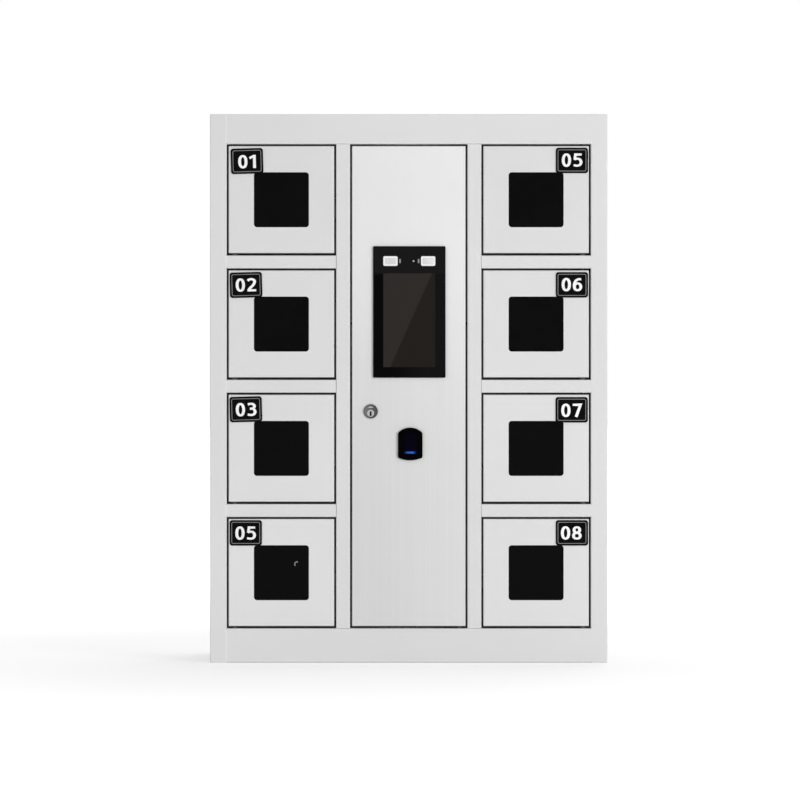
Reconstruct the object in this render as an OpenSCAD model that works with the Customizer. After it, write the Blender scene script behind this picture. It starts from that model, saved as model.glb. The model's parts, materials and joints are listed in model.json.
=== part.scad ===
// Locker cabinet for phones: eight small doors with electric locks round a tall service door.
// Millimetres. X runs to the right, Y runs into the cabinet and Z runs up.
// The origin is the middle of the base. Parts of the left column are mirrored for the right one.

/* [Cabinet] */
// Width of the cabinet
cabinet_w = 500; // [480:1:540]
// Height of the cabinet
cabinet_h = 690; // [660:1:740]
// Depth of the cabinet, from the faces of the doors to the wall
cabinet_d = 200; // [180:1:240]
// Thickness of the folded sheet steel
sheet = 1; // [0.8:0.1:1.2]
// Radius on the inside of each fold
fold_r = 0.6; // [0.4:0.1:0.8]
// Width of the stile down each side
stile_w = 21; // [18:0.5:24]
// Width of the two posts beside the centre door
post_w = 17.6; // [16:0.1:20]
// Height of the face above the doors
head_h = 37.8; // [30:0.2:50]
// Height of the face below the doors
sill_h = 43; // [38:0.5:55]
// Height of the rails between the small doors
rail_h = 16.4; // [14:0.2:20]
// Depth of the returns behind the faces
return_d = 20; // [19:0.5:24]
// Width of the flanges at the rear edges of the cabinet
rear_flange = 18; // [12:0.5:24]
// Depth of the flanges at the edges of the trays and dividers
tray_flange = 10; // [6:0.5:12]
// Gap left at each welded seam
seam = 0.1; // [0.05:0.05:0.2]

/* [Back] */
// Distance between the wall bolts, side to side
bolt_pitch_x = 320; // [300:1:340]
// Distance between the wall bolts, top to bottom
bolt_pitch_z = 470; // [440:1:490]
// Height of the middle of the wall bolts
bolt_mid_z = 348; // [340:1:360]
// Radius of the holes for the wall bolts
bolt_r = 4; // [3:0.25:5]
// Length of the vent slots
vent_l = 70; // [40:1:90]
// Width of the vent slots
vent_w = 4; // [3:0.25:5]
// Distance from one vent slot to the next
vent_pitch = 10; // [8:0.5:14]
// Number of vent slots in each block
vent_count = 7; // [3:1:8]
// Radius of the cable hole in the back
cable_hole_r = 11; // [9:0.5:13]
// Radius of the way for the cable through its rubber ring
cable_r = 7; // [5:0.5:8]
// Width of the lips of the rubber ring
grommet_lip = 2.5; // [1.5:0.1:3]
// Distance from the rear flange up to the rubber ring
cable_up = 1.5; // [1:0.5:4]
// Height of the lowest vent slot above the floor
vent_low = 62; // [55:1:70]

/* [Doors] */
// Width of the opening for the centre door
centre_w = 147.6; // [140:0.2:156]
// Gap round each door
door_gap = 2.4; // [2:0.1:2.6]
// Depth of the folded edge of the small doors
door_d = 15; // [12:0.5:16]
// Depth of the folded edge of the centre door
centre_d = 17; // [14:0.5:17]
// Distance from the edge of a door to its pivot
pivot_in = 7.6; // [7:0.1:9]
// Distance from the face of a door back to its pivot
pivot_back = 5; // [4.8:0.1:5.2]
// Radius of the pivot pins
pin_r = 2; // [1.5:0.1:2.2]
// Clearance all round a pivot pin
pin_play = 0.05; // [0.03:0.01:0.08]
// Radius of the collar and head of a pivot pin
collar_r = 3.5; // [3:0.1:4]
// Thickness of the head of a pivot pin
pin_head = 1.2; // [0.8:0.1:1.6]
// Clearance between a collar and its door
collar_play = 0.2; // [0.1:0.05:0.3]
// Length of a pivot pin inside its door
pin_reach = 3; // [2:0.5:5]

/* [Windows and tags] */
// Distance from the sides of a door to its square window
window_side = 31.8; // [31.6:0.05:36]
// Radius at the corners of a window
window_r = 4; // [2:0.5:8]
// Overlap of the pane behind the sheet
pane_lap = 9; // [6:0.5:10]
// Thickness of the pane
pane_t = 3; // [2:0.5:4]
// Width of a number tag
tag_w = 40.6; // [34:0.2:42]
// Height of a number tag
tag_h = 32; // [26:0.2:34]
// Thickness of a number tag
tag_t = 1; // [0.8:0.1:1.5]
// Radius at the corners of a number tag
tag_r = 3.5; // [1:0.5:4]
// Distance from the side of a left door to its tag
tag_side = 2.9; // [2.4:0.1:5]
// Distance from the side of a right door to its tag
tag_side_right = 1; // [0.8:0.1:4]
// Distance from the top of a door to its tag
tag_top = 3; // [2.4:0.1:5]
// Tilt of the three upper left tags, in degrees
tag_lean = 1.5; // [0:0.1:2]

/* [Electric locks] */
// Depth of a lock case
case_d = 62; // [56:1:70]
// Height of a lock case
case_h = 54; // [50:1:70]
// Thickness of a lock case
case_t = 15; // [13.5:0.5:17]
// Distance from the bottom of a lock case to its mouth's middle
case_drop = 24; // [20:1:28]
// Distance from the divider to the middle of the hook
hook_in = 8.6; // [8.2:0.1:9]
// Thickness of the hook
hook_t = 3; // [2:0.5:4]
// Clearance at each side of the hook
hook_play = 0.3; // [0.2:0.05:0.5]
// Clearance between the locked hook and the strike's bar
hook_lift = 1; // [0.6:0.1:1.2]
// Distance from the front of a lock case back to the hook's pin
hook_back = 26; // [25:0.5:28]
// Distance from the mouth's middle up to the hook's pin
hook_up = 3; // [2.5:0.1:3.5]
// Radius of the hook's pin
hook_pin_r = 2; // [1.5:0.1:2.5]
// Radius of the hook's hub
hub_r = 5; // [4.5:0.1:5.5]
// Turn of the hook from released to locked, in degrees
hook_swing = 20; // [19:0.5:22]
// Height of the mouth of a lock case
mouth_h = 7; // [6.5:0.1:7.5]
// Depth of the mouth of a lock case
mouth_d = 17; // [16:0.5:18]
// Thickness of the strike's tongue
tongue_t = 3; // [2:0.1:3]
// Width of the strike's tongue
tongue_w = 8; // [7.5:0.1:8]
// Distance that the tongue reaches into the mouth
tongue_in = 14; // [13.5:0.1:14]
// Width of the bar at the end of the tongue
bar_w = 3.5; // [3:0.1:4]
// Length of the eye in the tongue
eye_l = 9.5; // [9:0.1:10]
// Width of the eye in the tongue
eye_w = 5; // [4.6:0.1:5]
// Width of the strike's foot
strike_foot_w = 16; // [13:0.5:18]
// Height of the strike's foot
strike_foot_h = 30; // [20:1:40]
// Thickness of the strike's foot
strike_foot_t = 2; // [1:0.5:3]

/* [Face terminal] */
// Width of the terminal
term_w = 91; // [84:0.5:96]
// Height of the terminal
term_h = 165.4; // [150:0.2:180]
// Distance from the cabinet's middle to the terminal's middle
term_x = 0.7; // [0:0.1:2]
// Height of the terminal's middle above the floor
term_z = 441; // [430:0.1:450]
// Distance that the terminal stands proud of the door
term_proud = 2.5; // [2:0.1:4]
// Width of the rim that the terminal lays on the door
term_lap = 4; // [3:0.5:6]
// Depth of the terminal's body behind the door's face
term_d = 21; // [18:0.5:24]
// Width of the rim round the terminal's glass
term_rim = 1.2; // [0.8:0.1:2]
// Thickness of the terminal's glass
glass_t = 1.5; // [1:0.1:1.8]
// Width of the screen
screen_w = 65.4; // [58:0.2:70]
// Height of the screen
screen_h = 118; // [100:0.2:120]
// Distance from the terminal's bottom to the screen
screen_up = 13.3; // [10:0.1:14]
// Width of each light
light_w = 18; // [14:0.2:19]
// Height of each light
light_h = 12.2; // [8:0.2:14]
// Distance from the terminal's top to the lights
light_down = 12.6; // [10:0.2:14]
// Radius of the terminal's corners
term_r = 1.5; // [1.4:0.1:4]
// Distance from the terminal's middle to each sensor slit
slit_x = 11.7; // [10.5:0.1:12]
// Width of each sensor slit
slit_w = 2; // [1.5:0.1:3]
// Height of each sensor slit
slit_h = 5.4; // [4:0.2:7]
// Distance from the terminal's middle to the camera lens
lens_x = 5.3; // [4:0.1:7]
// Radius of the camera lens
lens_r = 1.3; // [1:0.1:2]
// Height of the clamp behind the terminal
bracket_h = 24; // [16:1:40]
// Distance from the terminal's side to the clamp's leg
bracket_out = 4; // [2:0.5:6]

/* [Fingerprint reader] */
// Width of the reader
reader_w = 30.8; // [28:0.2:36]
// Height of the reader
reader_h = 41.2; // [36:0.2:46]
// Height of the reader's middle above the floor
reader_z = 275; // [270:0.5:280]
// Distance from the cabinet's middle to the reader's middle
reader_x = 1.9; // [0:0.1:3]
// Distance that the reader stands proud of the door
reader_proud = 3; // [2:0.1:4]
// Width of the reader's rim
reader_rim = 1.6; // [1:0.1:3]
// Depth of the reader's body behind the door's face
reader_d = 14; // [10:0.5:16]
// Length of the reader's light bar
bar_l = 15; // [10:0.5:18]
// Height of the reader's light bar
bar_h = 3; // [2:0.2:4]
// Distance from the reader's middle down to its light bar
bar_down = 10.8; // [9:0.1:12]

/* [Cam lock] */
// Distance from the cabinet's middle to the cam lock
cam_lock_x = 47.9; // [46:0.1:50]
// Height of the cam lock above the floor
cam_lock_z = 316; // [310:0.5:330]
// Radius of the cam lock's head
lock_head_r = 9; // [8.8:0.1:11]
// Distance that the cam lock's head stands proud of the door
lock_head_t = 2.6; // [1.5:0.1:3]
// Radius of the cam lock's barrel
barrel_r = 8; // [7.5:0.1:8.5]
// Radius of the keyed plug
plug_r = 4; // [3.9:0.1:4.2]
// Distance from the barrel's axis down to the plug's
plug_down = 2.3; // [1.8:0.1:2.4]
// Clearance round the keyed plug
plug_play = 0.06; // [0.04:0.01:0.08]
// Distance across the flats of the cam lock's nut
nut_af = 20; // [19:0.5:24]
// Thickness of the cam lock's nut
nut_t = 4; // [3:0.5:6]
// Length of the cam from the axis of the lock
cam_reach = 35; // [34:0.5:37]
// Width of the cam
cam_w = 12; // [10:0.5:16]
// Thickness of the cam
cam_t = 2; // [1.5:0.1:2.5]
// Clearance in front of the cam
cam_play = 0.5; // [0.3:0.1:0.8]

/* [Electronics] */
// Width of the control board
board_w = 100; // [80:1:120]
// Height of the control board
board_h = 150; // [120:1:180]
// Height of the control board's middle above the floor
board_z = 430; // [400:1:460]
// Thickness of the control board
board_t = 1.6; // [1.2:0.2:2]
// Length of the stand-offs under the control board
standoff = 10; // [6:1:15]
// Width of the power supply
supply_w = 98; // [80:1:110]
// Height of the power supply
supply_h = 129; // [110:1:160]
// Depth of the power supply
supply_d = 38; // [30:1:45]
// Height of the power supply's foot above the floor
supply_z = 140; // [130:1:160]
// Radius of the wiring trunks
trunk_r = 3.5; // [2.5:0.5:5]
// Radius of the branch to each lock
branch_r = 1.5; // [1:0.25:2]
// Distance from the rear of a lock case back to its branch's hole
branch_back = 26; // [24:1:32]

/* [Hidden] */
$fn = 48;
rows = 4;
mid = sheet / 2;
front = -cabinet_d / 2;
rear = cabinet_d / 2;
half_w = cabinet_w / 2;
half_c = centre_w / 2;
post_x = half_c + post_w;
cell_x = half_w - stile_w;
cell_h = (cabinet_h - head_h - sill_h - (rows - 1) * rail_h) / rows;
back_y = rear - 2 * sheet;
return_y = front + return_d;
outer_fold = fold_r + sheet;
corner_gap = seam + fold_r / 2;
door_w = cell_x - post_x - 2 * door_gap;
door_h = cell_h - 2 * door_gap;
door_x = (cell_x + post_x) / 2;
window_w = door_w - 2 * window_side;
centre_door_w = centre_w - 2 * door_gap;
centre_door_h = cabinet_h - head_h - sill_h - 2 * door_gap;
pivot_x = cell_x - door_gap - pivot_in;
centre_pivot_x = half_c - door_gap - pivot_in;
pivot_y = front + pivot_back;
pin_hole_r = pin_r + pin_play;
collar_t = door_gap - collar_play;
pin_l = door_gap + sheet + pin_reach;
pin_tip = pin_r / 4;
hook_x = post_x + hook_in;
hook_y = return_y + hook_back;
case_rear = return_y + case_d;
branch_x = post_x + case_t / 2;
branch_y = case_rear + branch_back;
trunk_x = post_x - sheet - 2 * trunk_r;
wire_bend = 3 * branch_r;
board_y = back_y - standoff - board_t;
cam_y = return_y + cam_play;
plug_end_play = 0.15;
plug_lip = 0.4;
plug_z = cam_lock_z - plug_down;
plug_sunk = 0.5;
cam_screw_r = 3.5;
key_w = 2.4;
key_h = 5.8;
key_down = 0.6;
key_deep = 12;
grommet_r = cable_hole_r + grommet_lip;
cable_z = tray_flange + cable_up + grommet_r;
case_r = 3;
chamber_wall = 1.5;
chamber_play = 1;
tooth_w = 3;
tooth_past = 1.5;
tooth_draft = 1;
nose_l = 7;
nose_drop = 1.5;
tail_l = 10;
tail_t = 2.5;
branch_play = 0.6;
socket_w = 10;
socket_d = 8;
socket_h = 12;
light_r = 2;
glass_r = max(term_r - term_rim, 0.2);
slit_r = 0.6;
inlay = 0.1;
bracket_hole_r = 8;
sensor_sunk = 0.5;
reader_foot_r = 3;
reader_shoulder_r = 5.5;
reader_arch_r = 21;
reader_sole_r = 36;
arc_steps = 8;
reader_body_w = 24;
reader_body_h = 32;
reader_r = 3;
standoff_r = 3;
standoff_in = 6;
relay_x = 15.2;
relay_w = 19;
relay_h = 15;
relay_d = 16;
relay_pitch = 22;
relay_low = 4;
block_w = 9;
block_d = 11;
block_low = 2;
supply_step = 15;
tag_tilts = [tag_lean, tag_lean, tag_lean, 0, 0, 0, 0, 0];
// How far each tag was stuck on beyond its place, outwards and up
tag_slips = [[0, 0], [1.3, 0.6], [1.5, 0.6], [1.6, 1.6], [0, 0.8], [0, 0.7], [-0.3, 0], [0, 1.6]];

// Doors are numbered down the left column and then down the right one; row 0 is the top one
function in_right(number) = number > rows;
function row_of(number) = (number - 1) % rows;
function floor_z(row) = sill_h + (rows - 1 - row) * (cell_h + rail_h);
function level_z(row) = floor_z(row) + cell_h / 2;
function unit(v) = v / norm(v);
function heading(v) = atan2(v.y, v.x);

module along_z(low, high) translate([0, 0, low]) linear_extrude(high - low) children();

// Children are drawn in Y and Z
module along_x(low, high) translate([low, 0, 0]) rotate([90, 0, 90]) linear_extrude(high - low) children();

// Children are drawn in X and Z
module along_y(low, high) translate([0, high, 0]) rotate([90, 0, 0]) linear_extrude(high - low) children();

// Children are made for the left side
module to_side(right) {
  if (right) mirror([1, 0, 0]) children();
  else children();
}

module rounded(w, h, r) {
  square([w - 2 * r, h], center = true);
  square([w, h - 2 * r], center = true);
  for (x = [-1, 1], y = [-1, 1]) translate([x * (w / 2 - r), y * (h / 2 - r)]) circle(r);
}

// Section of a folded sheet, from the path down its middle, with a quarter ring at each corner
module folded(path) {
  bend = fold_r + mid;
  last = len(path) - 2;
  for (i = [0 : last]) {
    way = unit(path[i + 1] - path[i]);
    a = path[i] + (i > 0 ? bend : 0) * way;
    b = path[i + 1] - (i < last ? bend : 0) * way;
    half = mid * [abs(way.y), abs(way.x)];
    low = [min(a.x, b.x), min(a.y, b.y)] - half;
    high = [max(a.x, b.x), max(a.y, b.y)] + half;
    translate(low) square(high - low);
  }
  for (i = [1 : last]) {
    before = unit(path[i] - path[i - 1]);
    after = unit(path[i + 1] - path[i]);
    toward = before - after;
    translate(path[i] - bend * before + bend * after) intersection() {
      difference() {
        circle(outer_fold);
        circle(fold_r);
      }
      translate([toward.x < 0 ? -outer_fold : 0, toward.y < 0 ? -outer_fold : 0]) square(outer_fold);
    }
  }
}

// Round wire along a path in X and Y, with an elbow at each corner
module wire(path, r) {
  last = len(path) - 2;
  for (i = [0 : last]) {
    way = unit(path[i + 1] - path[i]);
    a = path[i] + (i > 0 ? wire_bend : 0) * way;
    b = path[i + 1] - (i < last ? wire_bend : 0) * way;
    translate(a) rotate([90, 0, heading(way) + 90]) cylinder(r = r, h = norm(b - a));
  }
  for (i = [1 : last]) {
    before = unit(path[i] - path[i - 1]);
    after = unit(path[i + 1] - path[i]);
    left = before.x * after.y - before.y * after.x > 0;
    translate(path[i] - wire_bend * before + wire_bend * after)
      rotate(left ? heading(-after) : heading(before))
        rotate_extrude(angle = 90) translate([wire_bend, 0]) circle(r);
  }
}

// Section across a pan, with its two front edges rounded
module front_rounded(w, d, r) {
  translate([-w / 2, r]) square([w, d - r]);
  translate([r - w / 2, 0]) square([w - 2 * r, d]);
  for (x = [-1, 1]) translate([x * (w / 2 - r), r]) circle(r);
}

module pan_block(w, h, d, r) intersection() {
  along_z(0, h) front_rounded(w, d, r);
  translate([0, 0, h / 2]) along_x(-w / 2, w / 2) mirror([1, -1]) front_rounded(h, d, r);
}

// Pan folded from one sheet: its face is at Y 0 and its lower edge at Z 0
module pan(w, h, d) difference() {
  pan_block(w, h, d, outer_fold);
  translate([0, sheet, sheet]) pan_block(w - 2 * sheet, h - 2 * sheet, d, fold_r);
}

// Side panel from one sheet: return, stile, side and rear flange
module side_panel() color("gainsboro") along_z(0, cabinet_h) folded([
  [-cell_x - mid, return_y],
  [-cell_x - mid, front + mid],
  [-half_w + mid, front + mid],
  [-half_w + mid, rear - mid],
  [-half_w + rear_flange, rear - mid]]);

// Sill or upturned head from one sheet, notched round the side panels
module end_panel(face_h) color("gainsboro") difference() {
  between = cell_x - seam;
  side = half_w - sheet - corner_gap;
  tab_low = cell_x + sheet + corner_gap;
  tab_w = side - tab_low;
  behind = half_w - rear_flange - seam;
  union() {
    along_x(-between, between) folded([
      [return_y, face_h - mid],
      [front + mid, face_h - mid],
      [front + mid, mid],
      [return_y + 2 * sheet, mid]]);
    along_x(-behind, behind) folded([
      [rear - return_d, mid],
      [rear - mid, mid],
      [rear - mid, tray_flange]]);
    along_z(0, sheet) {
      translate([-side, return_y + seam]) square([2 * side, rear - sheet - corner_gap - seam - return_y]);
      for (right = [false, true]) to_side(right)
        translate([-side, front + sheet + corner_gap]) square([tab_w, return_d]);
    }
  }
  for (x = [-pivot_x, pivot_x, centre_pivot_x])
    translate([x, pivot_y, face_h - 2 * sheet]) cylinder(r = pin_hole_r, h = 3 * sheet);
}

module back_panel() color("gainsboro") difference() {
  side = half_w - outer_fold - seam;
  along_y(back_y, rear - sheet) translate([-side, outer_fold + seam])
    square([2 * side, cabinet_h - 2 * (outer_fold + seam)]);
  for (x = [-1, 1], z = [-1, 1])
    translate([x * bolt_pitch_x / 2, back_y - sheet, bolt_mid_z + z * bolt_pitch_z / 2])
      rotate([-90, 0, 0]) cylinder(r = bolt_r, h = 3 * sheet);
  translate([0, back_y - sheet, cable_z]) rotate([-90, 0, 0]) cylinder(r = cable_hole_r, h = 3 * sheet);
  for (block = [vent_low, cabinet_h - vent_low - (vent_count - 1) * vent_pitch], i = [0 : vent_count - 1])
    translate([0, 0, block + i * vent_pitch]) along_y(back_y - sheet, rear) {
      square([vent_l - vent_w, vent_w], center = true);
      for (x = [-1, 1]) translate([x * (vent_l - vent_w) / 2, 0]) circle(vent_w / 2);
    }
}

// Post and web beside the centre door, with a hole for the wires of each lock
module divider() color("gainsboro") difference() {
  union() {
    along_z(sill_h + seam, cabinet_h - head_h - seam) folded([
      [-half_c - mid, return_y],
      [-half_c - mid, front + mid],
      [-post_x + mid, front + mid],
      [-post_x + mid, return_y + 2 * sheet]]);
    along_z(sheet + seam, cabinet_h - sheet - seam) folded([
      [-post_x + mid, return_y + seam],
      [-post_x + mid, back_y - seam - mid],
      [-post_x + mid + tray_flange, back_y - seam - mid]]);
  }
  for (row = [0 : rows - 1]) translate([-post_x - sheet, branch_y, level_z(row)])
    rotate([0, 90, 0]) cylinder(r = branch_r + branch_play, h = 3 * sheet);
}

// Floor of a compartment, with its top at Z 0
module tray() along_y(return_y + seam, back_y - seam) folded([
  [-post_x - seam - mid, -tray_flange],
  [-post_x - seam - mid, -mid],
  [-half_w + sheet + seam + mid, -mid],
  [-half_w + sheet + seam + mid, -tray_flange]]);

// Tray whose front edge is folded down into the rail between two doors
module shelf() difference() {
  union() {
    tray();
    along_x(-cell_x + seam, -post_x - seam) folded([
      [return_y, mid - rail_h],
      [front + mid, mid - rail_h],
      [front + mid, -mid],
      [return_y + 2 * sheet, -mid]]);
  }
  translate([-pivot_x, pivot_y, -rail_h - sheet]) cylinder(r = pin_hole_r, h = rail_h + 2 * sheet);
}

module shelves() color("gainsboro") {
  for (row = [0 : rows - 2]) translate([0, 0, floor_z(row)]) shelf();
  translate([0, 0, sill_h]) tray();
}

// Riveted pin standing on a sheet whose face is at Z 0, with a collar under the door
module hinge_pin() rotate_extrude() polygon([
  [0, -sheet - pin_head],
  [collar_r, -sheet - pin_head],
  [collar_r, -sheet],
  [pin_r, -sheet],
  [pin_r, 0],
  [collar_r, 0],
  [collar_r, collar_t],
  [pin_r, collar_t],
  [pin_r, pin_l - pin_tip],
  [pin_r - pin_tip, pin_l],
  [0, pin_l]]);

module pin_pair(x, low, high) {
  translate([x, pivot_y, low]) hinge_pin();
  translate([x, pivot_y, high]) mirror([0, 0, 1]) hinge_pin();
}

module hinge_pins() color("silver") {
  for (row = [0 : rows - 1], x = [-pivot_x, pivot_x]) pin_pair(x, floor_z(row), floor_z(row) + cell_h);
  pin_pair(centre_pivot_x, sill_h, cabinet_h - head_h);
}

// Case of one electric lock, drawn about the level of its mouth
module lock_case() {
  difference() {
    along_x(-post_x - case_t, -post_x) difference() {
      translate([return_y + case_d / 2, case_h / 2 - case_drop]) rounded(case_d, case_h, case_r);
      translate([return_y - 1, -mouth_h / 2]) square([mouth_d + 1, mouth_h]);
    }
    along_x(-hook_x - hook_t / 2 - hook_play, -hook_x + hook_t / 2 + hook_play)
      translate([return_y + chamber_wall, hook_up - hub_r - chamber_play])
        square([hook_back + tail_l + tail_t, 2 * hub_r + chamber_play + hook_back * sin(hook_swing)]);
  }
  translate([-hook_x - hook_t, hook_y, hook_up]) rotate([0, 90, 0]) cylinder(r = hook_pin_r, h = 2 * hook_t);
  translate([-branch_x, case_rear + socket_d / 2 - 1, 0])
    cube([socket_w, socket_d + 2, socket_h], center = true);
}

module lock_bodies() color("silver") for (right = [false, true], row = [0 : rows - 1])
  to_side(right) translate([0, 0, level_z(row)]) lock_case();

// Hook about its pin, drawn locked: arm over the strike's bar, tooth down through the eye
module latch(number) color("goldenrod") to_side(in_right(number))
  translate([-hook_x, hook_y, level_z(row_of(number)) + hook_up]) rotate([-hook_swing, 0, 0])
    along_x(-hook_t / 2, hook_t / 2) difference() {
      bar_y = tongue_in - hook_back;
      under = tongue_t / 2 - hook_up + hook_lift;
      tooth_y = bar_y - bar_w - hook_lift;
      tooth_z = -hook_up - tongue_t / 2 - tooth_past;
      arm_top = hub_r - 0.5;
      root = (hub_r + hook_pin_r) / 2;
      union() {
        circle(hub_r);
        polygon([
          [0, arm_top],
          [tooth_y - tooth_w, arm_top],
          [tooth_y - nose_l + tooth_draft, arm_top - nose_drop],
          [tooth_y - nose_l, under],
          [tooth_y - tooth_draft - tooth_w, tooth_z],
          [tooth_y - tooth_draft, tooth_z],
          [tooth_y, under],
          [0, under]]);
        polygon([[root, -1], [tail_l, hub_r + 1], [tail_l - tail_t, hub_r + 1 + tail_t], [-1, root]]);
      }
      circle(hook_pin_r + pin_play);
    }

// Strike on the inside of a small door: a foot and a tongue with an eye at its end
module strike() difference() {
  tip_y = return_y + tongue_in;
  union() {
    along_y(front + sheet, front + sheet + strike_foot_t)
      translate([-post_x - door_gap - outer_fold - strike_foot_w / 2, 0])
        rounded(strike_foot_w, strike_foot_h, 2);
    along_z(-tongue_t / 2, tongue_t / 2) translate([-hook_x - tongue_w / 2, front + sheet])
      square([tongue_w, tip_y - front - sheet]);
  }
  translate([-hook_x - eye_w / 2, tip_y - bar_w - eye_l, -tongue_t]) cube([eye_w, eye_l, 2 * tongue_t]);
}

module small_door(number) color("whitesmoke") to_side(in_right(number))
  translate([0, 0, level_z(row_of(number))]) {
    difference() {
      translate([-door_x, front, -door_h / 2]) pan(door_w, door_h, door_d);
      along_y(front - 1, front + 2 * sheet) translate([-door_x, 0]) rounded(window_w, window_w, window_r);
      translate([-pivot_x, pivot_y, -door_h]) cylinder(r = pin_hole_r, h = 2 * door_h);
    }
    strike();
  }

module window(number) color("black") to_side(in_right(number))
  translate([0, 0, level_z(row_of(number))]) along_y(front + sheet, front + sheet + pane_t)
    translate([-door_x, 0]) rounded(window_w + 2 * pane_lap, window_w + 2 * pane_lap, window_r);

module tag(number) color("dimgray") to_side(in_right(number)) {
  side = in_right(number) ? tag_side_right : tag_side;
  slip = tag_slips[number - 1];
  along_y(front - tag_t, front) translate([
    -cell_x + door_gap + side + tag_w / 2 - slip.x,
    level_z(row_of(number)) + door_h / 2 - tag_top - tag_h / 2 + slip.y])
      rotate(tag_tilts[number - 1]) rounded(tag_w, tag_h, tag_r);
}

// Tall door with cut-outs for the terminal, the reader and the cam lock
module centre_door() color("whitesmoke") difference() {
  translate([0, front, sill_h + door_gap]) pan(centre_door_w, centre_door_h, centre_d);
  along_y(front - 1, front + 2 * sheet) {
    translate([term_x, term_z]) rounded(term_w - 2 * term_lap, term_h - 2 * term_lap, term_r);
    translate([reader_x, reader_z]) rounded(reader_body_w + 2 * seam, reader_body_h + 2 * seam, reader_r);
  }
  translate([-cam_lock_x, front - 1, cam_lock_z]) rotate([-90, 0, 0])
    cylinder(r = barrel_r + pin_play, h = 3 * sheet);
  translate([centre_pivot_x, pivot_y, sill_h]) cylinder(r = pin_hole_r, h = cabinet_h - head_h - sill_h);
}

module screen_outline(grow) translate([term_x, term_z - term_h / 2 + screen_up + screen_h / 2])
  square([screen_w + 2 * grow, screen_h + 2 * grow], center = true);

module light_outlines(grow) for (x = [-1, 1])
  translate([term_x + x * (screen_w - light_w) / 2, term_z + term_h / 2 - light_down - light_h / 2])
    rounded(light_w + 2 * grow, light_h + 2 * grow, light_r);

module camera_outlines(grow) translate([term_x, term_z + term_h / 2 - light_down - light_h / 2]) {
  for (x = [-1, 1]) translate([x * slit_x, 0]) rounded(slit_w + 2 * grow, slit_h + 2 * grow, slit_r);
  translate([lens_x, 0]) circle(lens_r + grow);
}

module terminal_housing() color("#202022") difference() {
  union() {
    along_y(front - term_proud, front) translate([term_x, term_z]) rounded(term_w, term_h, term_r);
    along_y(front, front + term_d) translate([term_x, term_z])
      rounded(term_w - 2 * (term_lap + seam), term_h - 2 * (term_lap + seam), term_r - seam);
  }
  along_y(front - term_proud - 1, front - term_proud + glass_t) translate([term_x, term_z])
    rounded(term_w - 2 * term_rim, term_h - 2 * term_rim, glass_r);
}

module inlaid(sunk) along_y(front - term_proud + sunk, front - term_proud + glass_t) children();

module terminal_glass() color("black") inlaid(0) difference() {
  translate([term_x, term_z])
    rounded(term_w - 2 * (term_rim + inlay), term_h - 2 * (term_rim + inlay), glass_r);
  screen_outline(inlay);
  light_outlines(inlay);
  camera_outlines(inlay);
}

module terminal_display() color("#2e2a28") inlaid(inlay) screen_outline(0);

module terminal_lights() color("white") inlaid(inlay) light_outlines(0);

module terminal_cameras() color("gray") inlaid(inlay) camera_outlines(0);

// Clamp that pulls the terminal back against the door
module terminal_bracket() color("silver") {
  foot_x = term_w / 2 + bracket_out;
  clamp_y = front + term_d + mid;
  translate([term_x, 0, term_z]) difference() {
    translate([0, 0, -bracket_h / 2]) linear_extrude(bracket_h) folded([
      [-foot_x - tray_flange, front + sheet + mid],
      [-foot_x, front + sheet + mid],
      [-foot_x, clamp_y],
      [foot_x, clamp_y],
      [foot_x, front + sheet + mid],
      [foot_x + tray_flange, front + sheet + mid]]);
    translate([0, clamp_y - sheet, 0]) rotate([-90, 0, 0]) cylinder(r = bracket_hole_r, h = 2 * sheet);
  }
}

// Points of an arc, with or without its two ends
function arc(centre, r, from, to, ends = true) = [
  for (i = [ends ? 0 : 1 : ends ? arc_steps : arc_steps - 1])
    let (turn = from + (to - from) * i / arc_steps) centre + r * [cos(turn), sin(turn)]];

// Arched top and shallow curved foot, each blended into the straight sides
module reader_outline(inset) {
  arch_y = reader_h / 2 - reader_arch_r;
  sole_y = reader_sole_r - reader_h / 2;
  shoulder_x = reader_w / 2 - reader_shoulder_r;
  shoulder_up = sqrt(pow(reader_arch_r - reader_shoulder_r, 2) - pow(shoulder_x, 2));
  shoulder_turn = atan2(shoulder_up, shoulder_x);
  shoulder_in = reader_shoulder_r - inset;
  foot_x = reader_w / 2 - reader_foot_r;
  foot_drop = sqrt(pow(reader_sole_r - reader_foot_r, 2) - pow(foot_x, 2));
  foot_turn = atan2(foot_drop, foot_x);
  foot_in = reader_foot_r - inset;
  polygon(concat(
    arc([shoulder_x, arch_y + shoulder_up], shoulder_in, 0, shoulder_turn),
    arc([0, arch_y], reader_arch_r - inset, shoulder_turn, 180 - shoulder_turn, false),
    arc([-shoulder_x, arch_y + shoulder_up], shoulder_in, 180 - shoulder_turn, 180),
    arc([-foot_x, sole_y - foot_drop], foot_in, 180, 180 + foot_turn),
    arc([0, sole_y], reader_sole_r - inset, 180 + foot_turn, 360 - foot_turn, false),
    arc([foot_x, sole_y - foot_drop], foot_in, 360 - foot_turn, 360)));
}

module light_bar(grow) translate([reader_x, reader_z - bar_down])
  rounded(bar_l + 2 * grow, bar_h + 2 * grow, bar_h / 3);

module fingerprint_housing() color("#101012") difference() {
  union() {
    along_y(front - reader_proud, front) translate([reader_x, reader_z]) reader_outline(0);
    along_y(front, front + reader_d) translate([reader_x, reader_z])
      rounded(reader_body_w, reader_body_h, reader_r);
  }
  along_y(front - reader_proud - 1, front - reader_proud + glass_t) {
    translate([reader_x, reader_z]) reader_outline(reader_rim);
  }
}

module reader_inlaid() along_y(front - reader_proud + sensor_sunk, front - reader_proud + glass_t) children();

module fingerprint_sensor() color("#0a0a14") reader_inlaid() difference() {
  translate([reader_x, reader_z]) reader_outline(reader_rim + inlay);
  light_bar(inlay);
}

module fingerprint_light() color("royalblue") reader_inlaid() light_bar(0);

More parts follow.
